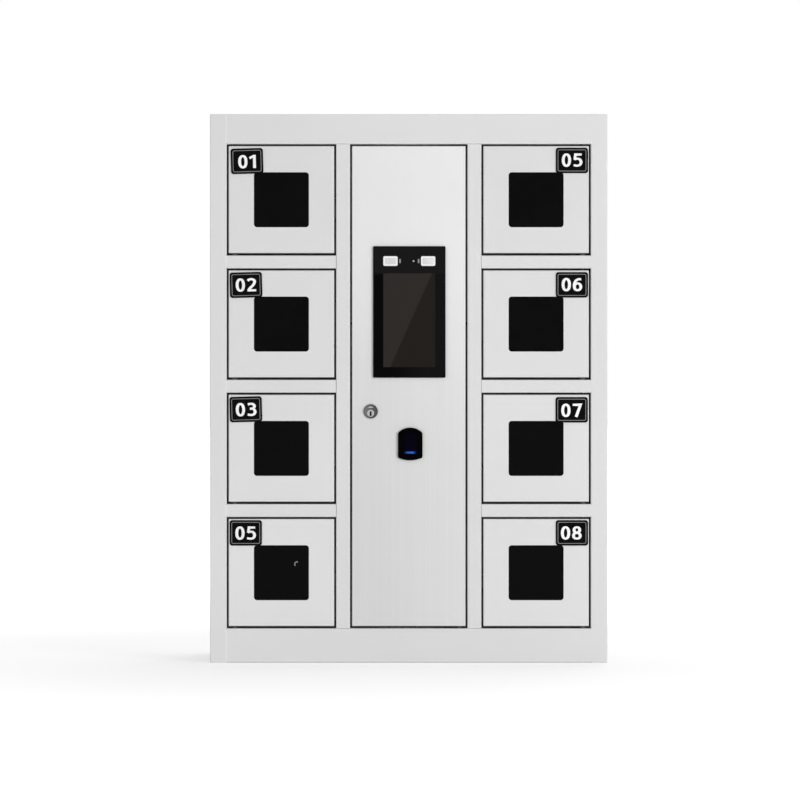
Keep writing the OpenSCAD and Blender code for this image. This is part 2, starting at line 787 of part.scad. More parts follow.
// Cam lock barrel with its head and its nut behind the door. The plug's bore lies below its axis
module lock_barrel() color("silver") difference() {
  face_y = front - lock_head_t;
  end_y = cam_y - plug_end_play;
  bore_r = plug_r + plug_play;
  translate([-cam_lock_x, 0, cam_lock_z]) rotate([-90, 0, 0]) {
    rotate_extrude() polygon([
      [0, face_y],
      [lock_head_r - 1, face_y],
      [lock_head_r, face_y + 1],
      [lock_head_r, front],
      [barrel_r, front],
      [barrel_r, end_y],
      [0, end_y]]);
    translate([0, 0, front + sheet]) cylinder(r = nut_af / sqrt(3), h = nut_t, $fn = 6);
  }
  translate([-cam_lock_x, 0, plug_z]) rotate([-90, 0, 0]) rotate_extrude() polygon([
    [0, face_y - 1],
    [bore_r + plug_lip, face_y - 1],
    [bore_r + plug_lip, front],
    [bore_r, front],
    [bore_r, end_y + 1],
    [0, end_y + 1]]);
}

// Keyed plug with its cam and screw, drawn unlocked with the cam hanging down
module lock_plug() color("dimgray") translate([-cam_lock_x, 0, plug_z]) {
  face_y = front - lock_head_t + plug_sunk;
  difference() {
    rotate([-90, 0, 0]) rotate_extrude() polygon([
      [0, face_y],
      [plug_r + plug_lip, face_y],
      [plug_r + plug_lip, front - plug_end_play],
      [plug_r, front - plug_end_play],
      [plug_r, cam_y + cam_t],
      [cam_screw_r, cam_y + cam_t],
      [cam_screw_r, cam_y + 2 * cam_t],
      [0, cam_y + 2 * cam_t]]);
    translate([-key_w / 2, face_y - 1, -key_down - key_h / 2]) cube([key_w, key_deep + 1, key_h]);
  }
  along_y(cam_y, cam_y + cam_t) {
    circle(cam_w / 2);
    translate([-cam_w / 2, cam_w / 2 - cam_reach]) square([cam_w, cam_reach - cam_w / 2]);
    translate([0, cam_w / 2 - cam_reach]) circle(cam_w / 2);
  }
}

// Board on four stand-offs, with a relay for each lock and screw terminals
module control_board() color("seagreen") translate([0, 0, board_z]) {
  along_y(board_y, board_y + board_t) rounded(board_w, board_h, standoff_r);
  for (x = [-1, 1], z = [-1, 1])
    translate([x * (board_w / 2 - standoff_in), board_y + board_t, z * (board_h / 2 - standoff_in)])
      rotate([-90, 0, 0]) cylinder(r = standoff_r, h = standoff);
  for (x = [-1, 1], row = [0 : rows - 1])
    translate([x * relay_x - relay_w / 2, board_y - relay_d, (row - rows / 2) * relay_pitch + relay_low])
      cube([relay_w, relay_d, relay_h]);
  for (x = [-1, 1]) translate([x * (board_w / 2 - block_w) - block_w / 2, board_y - block_d, -board_h / 3])
    cube([block_w, block_d, board_h * 2 / 3]);
  translate([-block_w, board_y - block_d, block_low - board_h / 2]) cube([2 * block_w, block_d, block_w]);
}

// Folded case with its screw terminals at the upper end
module power_supply() color("silver") translate([0, 0, supply_z]) {
  along_y(back_y - supply_d, back_y) translate([-supply_w / 2, 0]) square([supply_w, supply_h - supply_step]);
  along_y(back_y - supply_d / 2, back_y) translate([-supply_w / 2, supply_h - supply_step])
    square([supply_w, supply_step]);
}

// A trunk down each divider, a branch to each lock, a lead to each side of the board, and its supply
module wiring_loom() color("firebrick") {
  lead_y = board_y - block_d / 2;
  for (right = [false, true]) to_side(right) {
    translate([-trunk_x, branch_y, level_z(rows - 1) - trunk_r])
      cylinder(r = trunk_r, h = level_z(0) - level_z(rows - 1) + 2 * trunk_r);
    for (row = [0 : rows - 1]) translate([0, 0, level_z(row)])
      wire([[-branch_x, case_rear + socket_d], [-branch_x, branch_y], [-trunk_x, branch_y]], branch_r);
    translate([0, 0, board_z])
      wire([[-trunk_x, branch_y], [-trunk_x, lead_y], [block_w / 2 - board_w / 2, lead_y]], branch_r);
  }
  translate([0, lead_y, supply_z + supply_h])
    cylinder(r = branch_r, h = board_z - board_h / 2 + block_low - supply_z - supply_h);
}

// Rubber ring in the cable hole, flush with the rear
module cable_grommet() color("#181818") translate([0, back_y, cable_z]) rotate([-90, 0, 0]) rotate_extrude()
  polygon([
    [cable_r, -grommet_lip],
    [grommet_r, -grommet_lip],
    [grommet_r, 0],
    [cable_hole_r - pin_play, 0],
    [cable_hole_r - pin_play, sheet],
    [grommet_r, sheet],
    [grommet_r, 2 * sheet],
    [cable_r, 2 * sheet]]);

side_panel();  // side_left
mirror([1, 0, 0]) side_panel();  // side_right
translate([0, 0, cabinet_h]) mirror([0, 0, 1]) end_panel(head_h);  // top_panel
end_panel(sill_h);  // bottom_panel
back_panel();
divider();  // divider_left
mirror([1, 0, 0]) divider();  // divider_right
shelves();  // shelves_left
mirror([1, 0, 0]) shelves();  // shelves_right
hinge_pins();
lock_bodies();
wiring_loom();
control_board();
power_supply();
cable_grommet();
centre_door();
terminal_housing();
terminal_glass();
terminal_display();
terminal_lights();
terminal_cameras();
terminal_bracket();
fingerprint_housing();
fingerprint_sensor();
fingerprint_light();
lock_barrel();
lock_plug();
for (i = [1 : 2 * rows]) {
  small_door(i);
  window(i);
  tag(i);
  latch(i);
}
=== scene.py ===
import json

import bpy
import numpy as np
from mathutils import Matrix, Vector

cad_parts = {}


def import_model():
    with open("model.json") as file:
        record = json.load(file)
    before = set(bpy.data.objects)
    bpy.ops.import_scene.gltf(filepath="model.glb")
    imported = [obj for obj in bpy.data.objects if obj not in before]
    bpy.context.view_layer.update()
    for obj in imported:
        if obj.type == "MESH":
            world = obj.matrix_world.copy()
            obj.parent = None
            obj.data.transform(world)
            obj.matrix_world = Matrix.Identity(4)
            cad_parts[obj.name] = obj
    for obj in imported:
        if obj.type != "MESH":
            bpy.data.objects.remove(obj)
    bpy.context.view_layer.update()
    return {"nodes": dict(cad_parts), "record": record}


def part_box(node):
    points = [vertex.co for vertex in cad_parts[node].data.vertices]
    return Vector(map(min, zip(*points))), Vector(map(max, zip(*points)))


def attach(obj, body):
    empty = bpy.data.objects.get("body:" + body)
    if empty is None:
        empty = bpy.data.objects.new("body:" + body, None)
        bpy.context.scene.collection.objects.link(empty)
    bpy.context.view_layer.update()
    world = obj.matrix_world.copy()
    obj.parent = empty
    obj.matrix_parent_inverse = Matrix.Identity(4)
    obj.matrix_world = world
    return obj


# Looks of a locker cabinet for phones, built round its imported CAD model.
# Metres, in the CAD's frame: X to the right, Y into the cabinet, Z up, base at Z 0.
# Shapes are worked out in millimetres on grids of points and scaled once.

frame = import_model()
nodes = frame["nodes"]

MM = 0.001
TURN = 2 * np.pi


def span(node):
    """Lowest and highest corner of a CAD node, in millimetres."""
    return [np.array(corner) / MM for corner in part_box(node)]


def middle(node):
    """Centre of a CAD node's box, in millimetres."""
    low, high = span(node)
    return (low + high) / 2


# Sizes of the CAD model in millimetres: the face of the cabinet and its doors, the sheet, the outside
# radius of a fold, the outer side of a column of doors, and the height of a compartment
FRONT = -100.0
SHEET = 1.0
FOLD = 1.6
CELL_X = 229.0
CELL_H = 140.0
DOORS = range(1, 9)
ROWS = 4
LEVELS = [middle(f"window_{row + 1}")[2] for row in range(ROWS)]
HEAD_Z = span("top_panel")[0][2]
SILL_Z = span("bottom_panel")[1][2]
TOP_Z = span("side_left")[1][2]
PANE_BACK = span("window_1")[1][1]
# In metres, for the materials: from one row of doors to the next, and the lower edge of the last one
PITCH = (LEVELS[0] - LEVELS[1]) * MM
DOOR_LOW = span("door_4")[0][2] * MM


# Camera, lamps and world

def aim(thing, place, target):
    """Puts a lamp or a camera at a place and turns its -Z axis towards the target."""
    thing.location = place
    thing.rotation_euler = (Vector(target) - Vector(place)).to_track_quat("-Z", "Y").to_euler()


def soft_lamp(name, place, target, size, power):
    """Square lamp that lights surfaces but leaves no image of itself in gloss."""
    lamp = bpy.data.lights.new(name, "AREA")
    lamp.shape = "SQUARE"
    lamp.size = size
    lamp.energy = power
    thing = bpy.data.objects.new(name, lamp)
    thing.visible_glossy = False
    bpy.context.scene.collection.objects.link(thing)
    aim(thing, place, target)


# The photo is a straight front view: middle of the picture, its width at the cabinet's face, distance
VIEW_X, VIEW_Z = -0.0110, 0.3303
VIEW_WIDTH = 1.0063
VIEW_DISTANCE = 5.0
SENSOR = 36
camera = bpy.data.objects.new("camera", bpy.data.cameras.new("camera"))
camera.data.sensor_width = SENSOR
camera.data.lens = SENSOR * VIEW_DISTANCE / VIEW_WIDTH
camera.data.clip_end = 100
bpy.context.scene.collection.objects.link(camera)
aim(camera, (VIEW_X, FRONT * MM - VIEW_DISTANCE, VIEW_Z), (VIEW_X, 0, VIEW_Z))
bpy.context.scene.camera = camera
bpy.context.scene.view_settings.view_transform = "Standard"

# Lamps: place and target, side of the square in metres, power in watts
soft_lamp("key", (1.9, -2.6, 0.55), (0, -0.1, 0.05), 1.1, 44.5)
soft_lamp("fill", (-2.4, -2.8, 0.42), (0, -0.1, 0.05), 1.1, 12.2)
soft_lamp("rear", (1.0, 3.6, 1.0), (0, 0.1, 0.3), 1.6, 36)
soft_lamp("overhead", (0.2, 0.7, 3.2), (0, 0.3, 0), 1.5, 15)


# Node helpers

def add(tree, kind, inputs=None, **settings):
    """New node in a tree: settings are its properties, inputs are values or the sockets to join."""
    made = tree.nodes.new(kind)
    for key, value in settings.items():
        setattr(made, key, value)
    for key, value in (inputs or {}).items():
        if isinstance(value, bpy.types.NodeSocket):
            tree.links.new(value, made.inputs[key])
        else:
            made.inputs[key].default_value = value
    return made


def calc(tree, operation, first, second=0.0):
    """Result of a maths node."""
    return add(tree, "ShaderNodeMath", {0: first, 1: second}, operation=operation).outputs[0]


def product(tree, first, *others):
    """Product of two or more numbers."""
    for other in others:
        first = calc(tree, "MULTIPLY", first, other)
    return first


def rest_of(tree, share):
    """What a share leaves of 1."""
    return calc(tree, "SUBTRACT", 1.0, share)


def step(tree, value, low, high, start=0.0, end=1.0):
    """Smooth change from start to end while the value goes from low to high."""
    return add(tree, "ShaderNodeMapRange",
               {"Value": value, "From Min": low, "From Max": high, "To Min": start, "To Max": end},
               interpolation_type="SMOOTHSTEP").outputs["Result"]


def blend(tree, share, first, second):
    """Colour between two colours, by a share from 0 to 1."""
    mix = tree.nodes.new("ShaderNodeMix")
    mix.data_type = "RGBA"
    for socket, value in ((mix.inputs["Factor"], share), (mix.inputs[6], first), (mix.inputs[7], second)):
        if isinstance(value, bpy.types.NodeSocket):
            tree.links.new(value, socket)
        else:
            socket.default_value = value if isinstance(value, (int, float)) else (*value[:3], 1)
    return mix.outputs[2]


def coordinates(tree, scale=None):
    """Object coordinates, in metres, stretched by a scale on each axis where one is given."""
    place = add(tree, "ShaderNodeTexCoord").outputs["Object"]
    if scale is None:
        return place
    return add(tree, "ShaderNodeMapping", {"Vector": place, "Scale": scale}).outputs["Vector"]


def axes(tree):
    """X, Y and Z of a point on the piece, in metres."""
    return add(tree, "ShaderNodeSeparateXYZ", {"Vector": coordinates(tree)}).outputs


def effect(name, inputs, outputs):
    """Empty shader group with named number inputs and named outputs."""
    tree = bpy.data.node_groups.new(name, "ShaderNodeTree")
    for label, value in inputs.items():
        tree.interface.new_socket(label, in_out="INPUT", socket_type="NodeSocketFloat").default_value = value
    for label in outputs:
        tree.interface.new_socket(label, in_out="OUTPUT", socket_type="NodeSocketFloat")
    return tree, tree.nodes.new("NodeGroupInput").outputs, tree.nodes.new("NodeGroupOutput").inputs


def use(tree, group, **inputs):
    """Places a shared effect in a material with its own values."""
    return add(tree, "ShaderNodeGroup", {k.replace("_", " "): v for k, v in inputs.items()},
               node_tree=group).outputs


def noise(tree, vector, scale, detail, roughness=0.5):
    """Cloudy pattern about 0.5."""
    return add(tree, "ShaderNodeTexNoise",
               {"Vector": vector, "Scale": scale, "Detail": detail, "Roughness": roughness}).outputs["Fac"]


# Orange peel of a powder coat with a faint cloudiness
grain_tree, given, result = effect("powder grain", {"Grain": 420.0, "Cloud": 7.0}, ["Height", "Cloudiness"])
spot = coordinates(grain_tree)
peel = noise(grain_tree, spot, given["Grain"], 2.0, 0.45)
fine = noise(grain_tree, spot, product(grain_tree, given["Grain"], 3.1), 1.0)
grain_tree.links.new(calc(grain_tree, "ADD", peel, product(grain_tree, fine, 0.3)), result["Height"])
grain_tree.links.new(step(grain_tree, noise(grain_tree, spot, given["Cloud"], 3.0), 0.3, 0.7),
                     result["Cloudiness"])

# Long fine streaks along Z, as brushing or rolling leaves them
streak_tree, given, result = effect("long streaks", {"Fineness": 300.0, "Length": 2.0}, ["Streaks", "Height"])
stretch = add(streak_tree, "ShaderNodeCombineXYZ",
              {"X": given["Fineness"], "Y": given["Fineness"], "Z": given["Length"]}).outputs[0]
spot = add(streak_tree, "ShaderNodeVectorMath", {0: coordinates(streak_tree), 1: stretch},
           operation="MULTIPLY").outputs["Vector"]
streak = noise(streak_tree, spot, 1.0, 4.0, 0.6)
streak_tree.links.new(step(streak_tree, streak, 0.3, 0.7), result["Streaks"])
streak_tree.links.new(streak, result["Height"])

# Small handling marks: pale specks and smears that change the gloss
mark_tree, given, result = effect("handling marks", {"Size": 60.0, "Amount": 0.35}, ["Marks"])
spot = coordinates(mark_tree)
smear = noise(mark_tree, spot, given["Size"], 5.0, 0.7)
edge = rest_of(mark_tree, given["Amount"])
mark_tree.links.new(step(mark_tree, smear, product(mark_tree, edge, 0.8), edge), result["Marks"])

# Crystal flakes of a zinc plate
flake_tree, given, result = effect("plate flakes", {"Size": 250.0}, ["Tone"])
flakes = add(flake_tree, "ShaderNodeTexVoronoi", {"Vector": coordinates(flake_tree), "Scale": given["Size"]})
tone = add(flake_tree, "ShaderNodeSeparateColor", {"Color": flakes.outputs["Color"]}).outputs[0]
flake_tree.links.new(tone, result["Tone"])


# Materials

def material(name, colour, roughness, **constants):
    """Principled material. Constants go straight to the shader's own sockets."""
    made = bpy.data.materials.new(name)
    made.use_nodes = True
    tree = made.node_tree
    shader = tree.nodes["Principled BSDF"]
    for key, value in {"Base Color": (*colour, 1), "Roughness": roughness, **constants}.items():
        shader.inputs[key.replace("_", " ")].default_value = value
    return made, tree, shader


def tint(tree, shader, share, first, second):
    """Base colour that goes from the first colour to the second with a share."""
    tree.links.new(blend(tree, share, first, second), shader.inputs["Base Color"])


def gloss(tree, shader, share, low, high):
    """Roughness that goes from low to high with a share."""
    tree.links.new(step(tree, share, 0.0, 1.0, low, high), shader.inputs["Roughness"])


def relief(tree, shader, height, depth, strength=0.5):
    """Bump of a height map. Depth is how far its 0 and 1 stand apart, in metres."""
    tree.links.new(add(tree, "ShaderNodeBump", {"Height": height, "Distance": depth, "Strength": strength})
                   .outputs["Normal"], shader.inputs["Normal"])


def shade(colour, factor):
    """Plain colour made darker or paler by a factor."""
    return tuple(min(1.0, c * factor) for c in colour)


def grey(value):
    return (value, value, value)


def times(tree, colour, factor):
    """Colour multiplied by a number from a socket."""
    return add(tree, "ShaderNodeVectorMath", {0: colour, "Scale": factor},
               operation="SCALE").outputs["Vector"]


# Painted light: how much paler the paint is low at the left, and where that fades to nothing, upwards and to
# the right
LIGHT_LIFT, LIGHT_LIFT_Z, LIGHT_LIFT_X = 0.066, (0.03, 0.36), (-0.25, 0.02)


def painted(name, colour, ground=None):
    """Powder coated sheet steel, satin, a little cloudy and grained, and paler low at the left by painted
    light. Ground makes the colour out of the material's own tree where it changes over the piece."""
    made, tree, shader = material(name, colour, 0.42, Specular_IOR_Level=0.4)
    grain = use(tree, grain_tree)
    cloud = step(tree, grain["Cloudiness"], 0.0, 1.0, 0.99, 1.01)
    place = axes(tree)
    # Painted light: the paint is paler low at the left
    light_lift = product(tree, step(tree, place["Z"], *LIGHT_LIFT_Z, LIGHT_LIFT, 0.0),
                   step(tree, place["X"], *LIGHT_LIFT_X, 1.0, 0.0))
    tone = calc(tree, "ADD", cloud, light_lift)
    tree.links.new(times(tree, ground(tree) if ground else colour, tone), shader.inputs["Base Color"])
    gloss(tree, shader, use(tree, mark_tree, Size=25.0)["Marks"], 0.4, 0.5)
    relief(tree, shader, grain["Height"], 0.00006, 0.35)
    return made


def plate(tree, size=260.0):
    """Flakes and rolling streaks of a plate: the flakes' tone, its mean with the streaks, the relief."""
    flake = use(tree, flake_tree, Size=size)["Tone"]
    lines = use(tree, streak_tree, Fineness=900.0, Length=40.0)
    return flake, product(tree, calc(tree, "ADD", flake, lines["Streaks"]), 0.5), lines["Height"]


def plated(name, colour, roughness, size=260.0):
    """Zinc or nickel plate with faint flakes of a size and rolling streaks."""
    made, tree, shader = material(name, colour, roughness, Metallic=1.0)
    _, tone, height = plate(tree, size)
    tint(tree, shader, tone, shade(colour, 0.88), shade(colour, 1.06))
    gloss(tree, shader, tone, roughness * 0.85, roughness * 1.2)
    relief(tree, shader, height, 0.00002, 0.3)
    return made


def moulded(name, colour, roughness, grain=1200.0, depth=0.00004, **constants):
    """Moulded plastic or rubber with an eroded grain and handling marks."""
    made, tree, shader = material(name, colour, roughness, **constants)
    eroded = use(tree, grain_tree, Grain=grain, Cloud=40.0)
    tint(tree, shader, eroded["Cloudiness"], shade(colour, 0.9), shade(colour, 1.12))
    gloss(tree, shader, use(tree, mark_tree, Size=90.0)["Marks"], roughness, min(1.0, roughness * 1.25))
    relief(tree, shader, eroded["Height"], depth, 0.4)
    return made


def polished(name, colour, roughness, **constants):
    """Glass or polished acrylic with faint smears."""
    made, tree, shader = material(name, colour, roughness, **constants)
    smears = use(tree, mark_tree, Size=35.0, Amount=0.45)["Marks"]
    tint(tree, shader, smears, colour, shade(colour, 1.15))
    gloss(tree, shader, smears, roughness, roughness * 1.6 + 0.02)
    return made


def patch(tree, name, low, high, edge=0.0001):
    """1 where a coordinate lies between low and high, with a soft edge, else 0."""
    place = axes(tree)[name]
    return product(tree, step(tree, place, low - edge, low + edge),
                   step(tree, place, high - edge, high + edge, 1.0, 0.0))


def before(tree, name, limit, edge=0.0002):
    """1 where a coordinate is less than a limit, with an edge that starts at it, else 0."""
    return step(tree, axes(tree)[name], limit, limit + edge, 1.0, 0.0)


# Shade on a door's lower fold, and the heights above its edge between which it fades
FOLD_SHADE, FOLD_Z = 0.2, (0.0005, 0.0011)


def lower_fold(tree, colour, above):
    """Colour with the shade that gathers on the fold along a door's lower edge, by the height above
    that edge."""
    return times(tree, colour, step(tree, above, *FOLD_Z, FOLD_SHADE, 1.0))


def tall_ground(tree):
    """Paint of the centre door: painted light and shade make it darker towards the bottom left and paler at
    the top, with fine upright streaks that fade towards the top."""
    place = axes(tree)
    across = step(tree, place["X"], -0.07, 0.07)
    up = step(tree, place["Z"], 0.25, 0.55)
    # Painted light and shade: darker at the bottom left, paler at the top
    ground = blend(tree, up, blend(tree, across, grey(0.672), grey(0.718)),
                   blend(tree, across, grey(0.765), grey(0.80)))
    lines = use(tree, streak_tree, Fineness=180.0, Length=0.8)["Streaks"]
    depth = step(tree, up, 0.0, 1.0, 0.035, 0.008)
    streaked = times(tree, ground, rest_of(tree, product(tree, lines, depth)))
    return lower_fold(tree, streaked, calc(tree, "SUBTRACT", place["Z"], DOOR_LOW))


def small_ground(tree):
    """Paint of the small doors, paler towards the floor by painted light."""
    z = axes(tree)["Z"]
    # Painted light: paler low down than high up
    ground = blend(tree, step(tree, z, 0.12, 0.62), grey(0.722), grey(0.688))
    return lower_fold(tree, ground, calc(tree, "MODULO", calc(tree, "SUBTRACT", z, DOOR_LOW), PITCH))


cabinet_paint = painted("cabinet paint", grey(0.70))
door_paint = painted("door paint", grey(0.70), small_ground)
centre_paint = painted("centre door paint", grey(0.73), tall_ground)
smoked = polished("smoked acrylic", grey(0.0024), 0.1, Specular_IOR_Level=0.025)
plate_black = moulded("black laminate", grey(0.0026), 0.45, Specular_IOR_Level=0.03)
print_white = moulded("white print", grey(0.9), 0.5, depth=0.00002)
print_grey = moulded("grey print", grey(0.2), 0.5, depth=0.00002)
zinc = plated("zinc plate", (0.68, 0.69, 0.70), 0.34)
screw_steel = plated("screw steel", (0.62, 0.62, 0.63), 0.28)
yellow_zinc = plated("yellow zinc plate", (0.76, 0.62, 0.34), 0.32)
# Painted highlight: brighter metal for the crescent on the cam lock's head
crescent_highlight_metal = plated("crescent highlight metal", grey(0.5), 0.3, 900.0)
aluminium = plated("satin aluminium", (0.72, 0.73, 0.74), 0.38)
rubber = moulded("black rubber", grey(0.012), 0.75, 800.0)
sleeve = moulded("wire sleeve", (0.02, 0.02, 0.021), 0.6, 1500.0, 0.0002)
case_black = moulded("terminal plastic", grey(0.0035), 0.5, Specular_IOR_Level=0.03)
reader_black = polished("reader plastic", grey(0.0006), 0.14, Specular_IOR_Level=0.012)
tie_nylon = moulded("white nylon", (0.78, 0.78, 0.75), 0.4)
chip_black = moulded("chip plastic", (0.02, 0.02, 0.021), 0.42)
relay_blue = moulded("relay plastic", (0.02, 0.09, 0.32), 0.35)
can_sleeve = moulded("capacitor sleeve", (0.012, 0.016, 0.05), 0.35)
red_led = polished("red indicator", (0.7, 0.03, 0.02), 0.15)
lamp_grey = moulded("lamp ribs", grey(0.71), 0.35, 900.0, 0.00002)

# Blackened hinge pins. The lower pin of each small door is made a little brighter as a painted highlight.
pin_black, tree, shader = material("blackened pins", grey(0.015), 0.45, Specular_IOR_Level=0.2)
above_row = calc(tree, "MODULO", calc(tree, "SUBTRACT", axes(tree)["Z"], SILL_Z * MM), PITCH)
# Painted highlight on the lower pin of each small door
lower_pin_lit = step(tree, above_row, 0.018, 0.022, 1.0, 0.0)
pin_light = product(tree, lower_pin_lit, step(tree, use(tree, mark_tree, Size=300.0)["Marks"], 0, 1, 0.6, 1.0))
tint(tree, shader, pin_light, grey(0.012), grey(0.10))

# Head of the cam lock: dark satin chrome, with painted light that makes it paler at the left
HEAD_X = (-0.0565, -0.0405)
lock_chrome, tree, shader = material("dark satin chrome", grey(0.12), 0.35, Metallic=1.0)
fine = use(tree, streak_tree, Fineness=900.0, Length=900.0)
# Painted light: paler at the left of the head
side = step(tree, axes(tree)["X"], *HEAD_X)
tree.links.new(times(tree, blend(tree, side, grey(0.15), grey(0.075)),
                     step(tree, fine["Streaks"], 0.0, 1.0, 0.93, 1.07)), shader.inputs["Base Color"])
gloss(tree, shader, fine["Streaks"], 0.3, 0.42)

# Lock plug: bright steel, with painted shade that makes it black inside the key slot from just behind the
# plug's face
SLOT_X, SLOT_Y, SLOT_Z, SLOT_EDGE = (-0.0492, -0.0466), -0.1020, (0.3101, 0.3161), 0.00005
plug_metal, tree, shader = material("bright plug steel", grey(0.48), 0.32, Metallic=1.0)
turning = use(tree, streak_tree, Fineness=1400.0, Length=1400.0)["Streaks"]
# Painted shade inside the key slot
slot = product(tree, patch(tree, "X", *SLOT_X, SLOT_EDGE), patch(tree, "Z", *SLOT_Z, SLOT_EDGE),
               step(tree, axes(tree)["Y"], SLOT_Y - SLOT_EDGE, SLOT_Y))
tint(tree, shader, slot, blend(tree, turning, grey(0.37), grey(0.46)), grey(0.006))
gloss(tree, shader, turning, 0.26, 0.38)

# Zinc plated lock cases with a nose and mouth made black by painted shade, which keeps the gaps beside the
# doors dark
NOSE_Y, MOUTH_Y, MOUTH_Z = -0.0769, -0.0628, 0.0036
lock_zinc, tree, shader = material("lock case zinc", (0.68, 0.69, 0.70), 0.34, Metallic=1.0)
flake, tone, height = plate(tree)
bare = blend(tree, tone, (0.60, 0.61, 0.62), (0.72, 0.73, 0.74))
row_up = calc(tree, "MODULO", calc(tree, "ADD", axes(tree)["Z"], PITCH / 2 - LEVELS[-1] * MM), PITCH)
off_mouth = calc(tree, "ABSOLUTE", calc(tree, "SUBTRACT", row_up, PITCH / 2))
# Painted shade: the mouth and the nose of each case are black and not metallic
mouth = product(tree, step(tree, off_mouth, MOUTH_Z, MOUTH_Z + 0.0001, 1.0, 0.0), before(tree, "Y", MOUTH_Y))
black = calc(tree, "MAXIMUM", mouth, before(tree, "Y", NOSE_Y))
tint(tree, shader, black, bare, grey(0.01))
tree.links.new(rest_of(tree, black), shader.inputs["Metallic"])
gloss(tree, shader, flake, 0.29, 0.41)
relief(tree, shader, height, 0.00002, 0.3)

# Front glass of the terminal: a painted reflection makes it a little lighter above the screen and at the
# right than at the left
GLASS_X, BROW_Z = (-0.03, 0.03), (0.486, 0.492)
front_glass, tree, shader = material("front glass", grey(0.004), 0.08, Specular_IOR_Level=0.02)
place = axes(tree)
# Painted reflection: lighter above the screen and at the right
sides = blend(tree, step(tree, place["X"], *GLASS_X), grey(0.0014), grey(0.0060))
tint(tree, shader, step(tree, place["Z"], *BROW_Z), sides, grey(0.0085))
gloss(tree, shader, use(tree, mark_tree, Size=60.0)["Marks"], 0.08, 0.14)

# Sensor windows beside the lights, and the brighter lens between them
LENS_X = (0.0042, 0.0078)
lens_grey, tree, shader = material("sensor window", grey(0.25), 0.2, Specular_IOR_Level=0.3)
tint(tree, shader, patch(tree, "X", *LENS_X), (0.24, 0.24, 0.25), (0.36, 0.36, 0.37))
gloss(tree, shader, use(tree, mark_tree, Size=200.0)["Marks"], 0.16, 0.26)

# White diffusers of the two lights
lamp_white, tree, shader = material("lamp diffuser", grey(0.88), 0.3, Specular_IOR_Level=0.2)
ripple = use(tree, mark_tree, Size=500.0, Amount=0.5)["Marks"]
tint(tree, shader, ripple, grey(0.88), grey(0.84))
gloss(tree, shader, ripple, 0.28, 0.36)

# Screen: a painted reflection makes it paler to the left of a line that leans to the right; it is a little
# darker at its right edge
GLEAM_X, GLEAM_Z, GLEAM_SLOPE, GLEAM_EDGE = -0.01892, 0.3815, 0.4468, 0.0014
RIM_X = (0.0312, 0.040)
screen, tree, shader = material("screen", (0.02, 0.017, 0.016), 0.1, Specular_IOR_Level=0.02)
place = axes(tree)
# Painted reflection: paler to the left of the leaning line
slant = calc(tree, "SUBTRACT", product(tree, calc(tree, "SUBTRACT", place["Z"], GLEAM_Z), GLEAM_SLOPE),
             calc(tree, "SUBTRACT", place["X"], GLEAM_X))
base = blend(tree, step(tree, slant, -GLEAM_EDGE, GLEAM_EDGE), (0.0162, 0.0130, 0.0109),
             (0.0280, 0.0236, 0.0206))
tint(tree, shader, patch(tree, "X", *RIM_X), base, grey(0.0135))
gloss(tree, shader, use(tree, mark_tree, Size=60.0)["Marks"], 0.08, 0.14)


def bell(tree, value, centre, width):
    """Bell curve about a centre: e to the power of minus the squared distance over the width."""
    away = calc(tree, "DIVIDE", calc(tree, "SUBTRACT", value, centre), width)
    return calc(tree, "EXPONENT", product(tree, away, away, -1.0))


# Lit bar of the reader, with two soft spots: place, width and strength of each
SPOTS = [(-0.0006, 0.0040, 0.80), (0.0049, 0.0030, 0.85)]
BAR_MIDDLE, BAR_SPREAD, BAR_TOP = 0.2642, 0.0013, 0.2657
lamp_blue, tree, shader = material("blue bar", (0.002, 0.006, 0.03), 0.25, Specular_IOR_Level=0.05,
                                   Emission_Strength=1.0)
place = axes(tree)
spots = calc(tree, "ADD", *(product(tree, bell(tree, place["X"], centre, width), strength)
                            for centre, width, strength in SPOTS))
lit = product(tree, bell(tree, place["Z"], BAR_MIDDLE, BAR_SPREAD),
              calc(tree, "MINIMUM", product(tree, spots, 1.3), 1.0))
lamp_colour = blend(tree, calc(tree, "POWER", spots, 3.0), (0.0, 0.035, 0.33), (0.050, 0.17, 0.66))
tree.links.new(times(tree, lamp_colour, lit), shader.inputs["Emission Color"])

# Field of the reader: navy black, with the bar's light spilling upwards and fading within millimetres
FIELD_X, FIELD_Z = (-0.0060, 0.0100, 0.0025), (0.2670, 0.2890, 0.002)
SPILL_X, SPILL_UP = (-0.0035, 0.0085, 0.002), 0.0009
reader_glass, tree, shader = material("reader glass", grey(0.0005), 0.1,
                                      Specular_IOR_Level=0.012, Emission_Strength=0.5)
tint(tree, shader, product(tree, patch(tree, "X", *FIELD_X), patch(tree, "Z", *FIELD_Z)),
     grey(0.0004), (0.0010, 0.0006, 0.0044))
up = axes(tree)["Z"]
fading = calc(tree, "DIVIDE", calc(tree, "SUBTRACT", up, BAR_TOP), -SPILL_UP)
spill = product(tree, calc(tree, "EXPONENT", calc(tree, "MINIMUM", fading, 0.0)),
                patch(tree, "X", *SPILL_X), step(tree, up, BAR_TOP - 0.0012, BAR_TOP))
tree.links.new(blend(tree, spill, grey(0.0), (0.0006, 0.003, 0.16)), shader.inputs["Emission Color"])
gloss(tree, shader, use(tree, mark_tree, Size=120.0)["Marks"], 0.1, 0.18)

# Paint on the left seams, made lighter as a painted highlight
seam_highlight_paint = painted("seam highlight paint", grey(0.765))

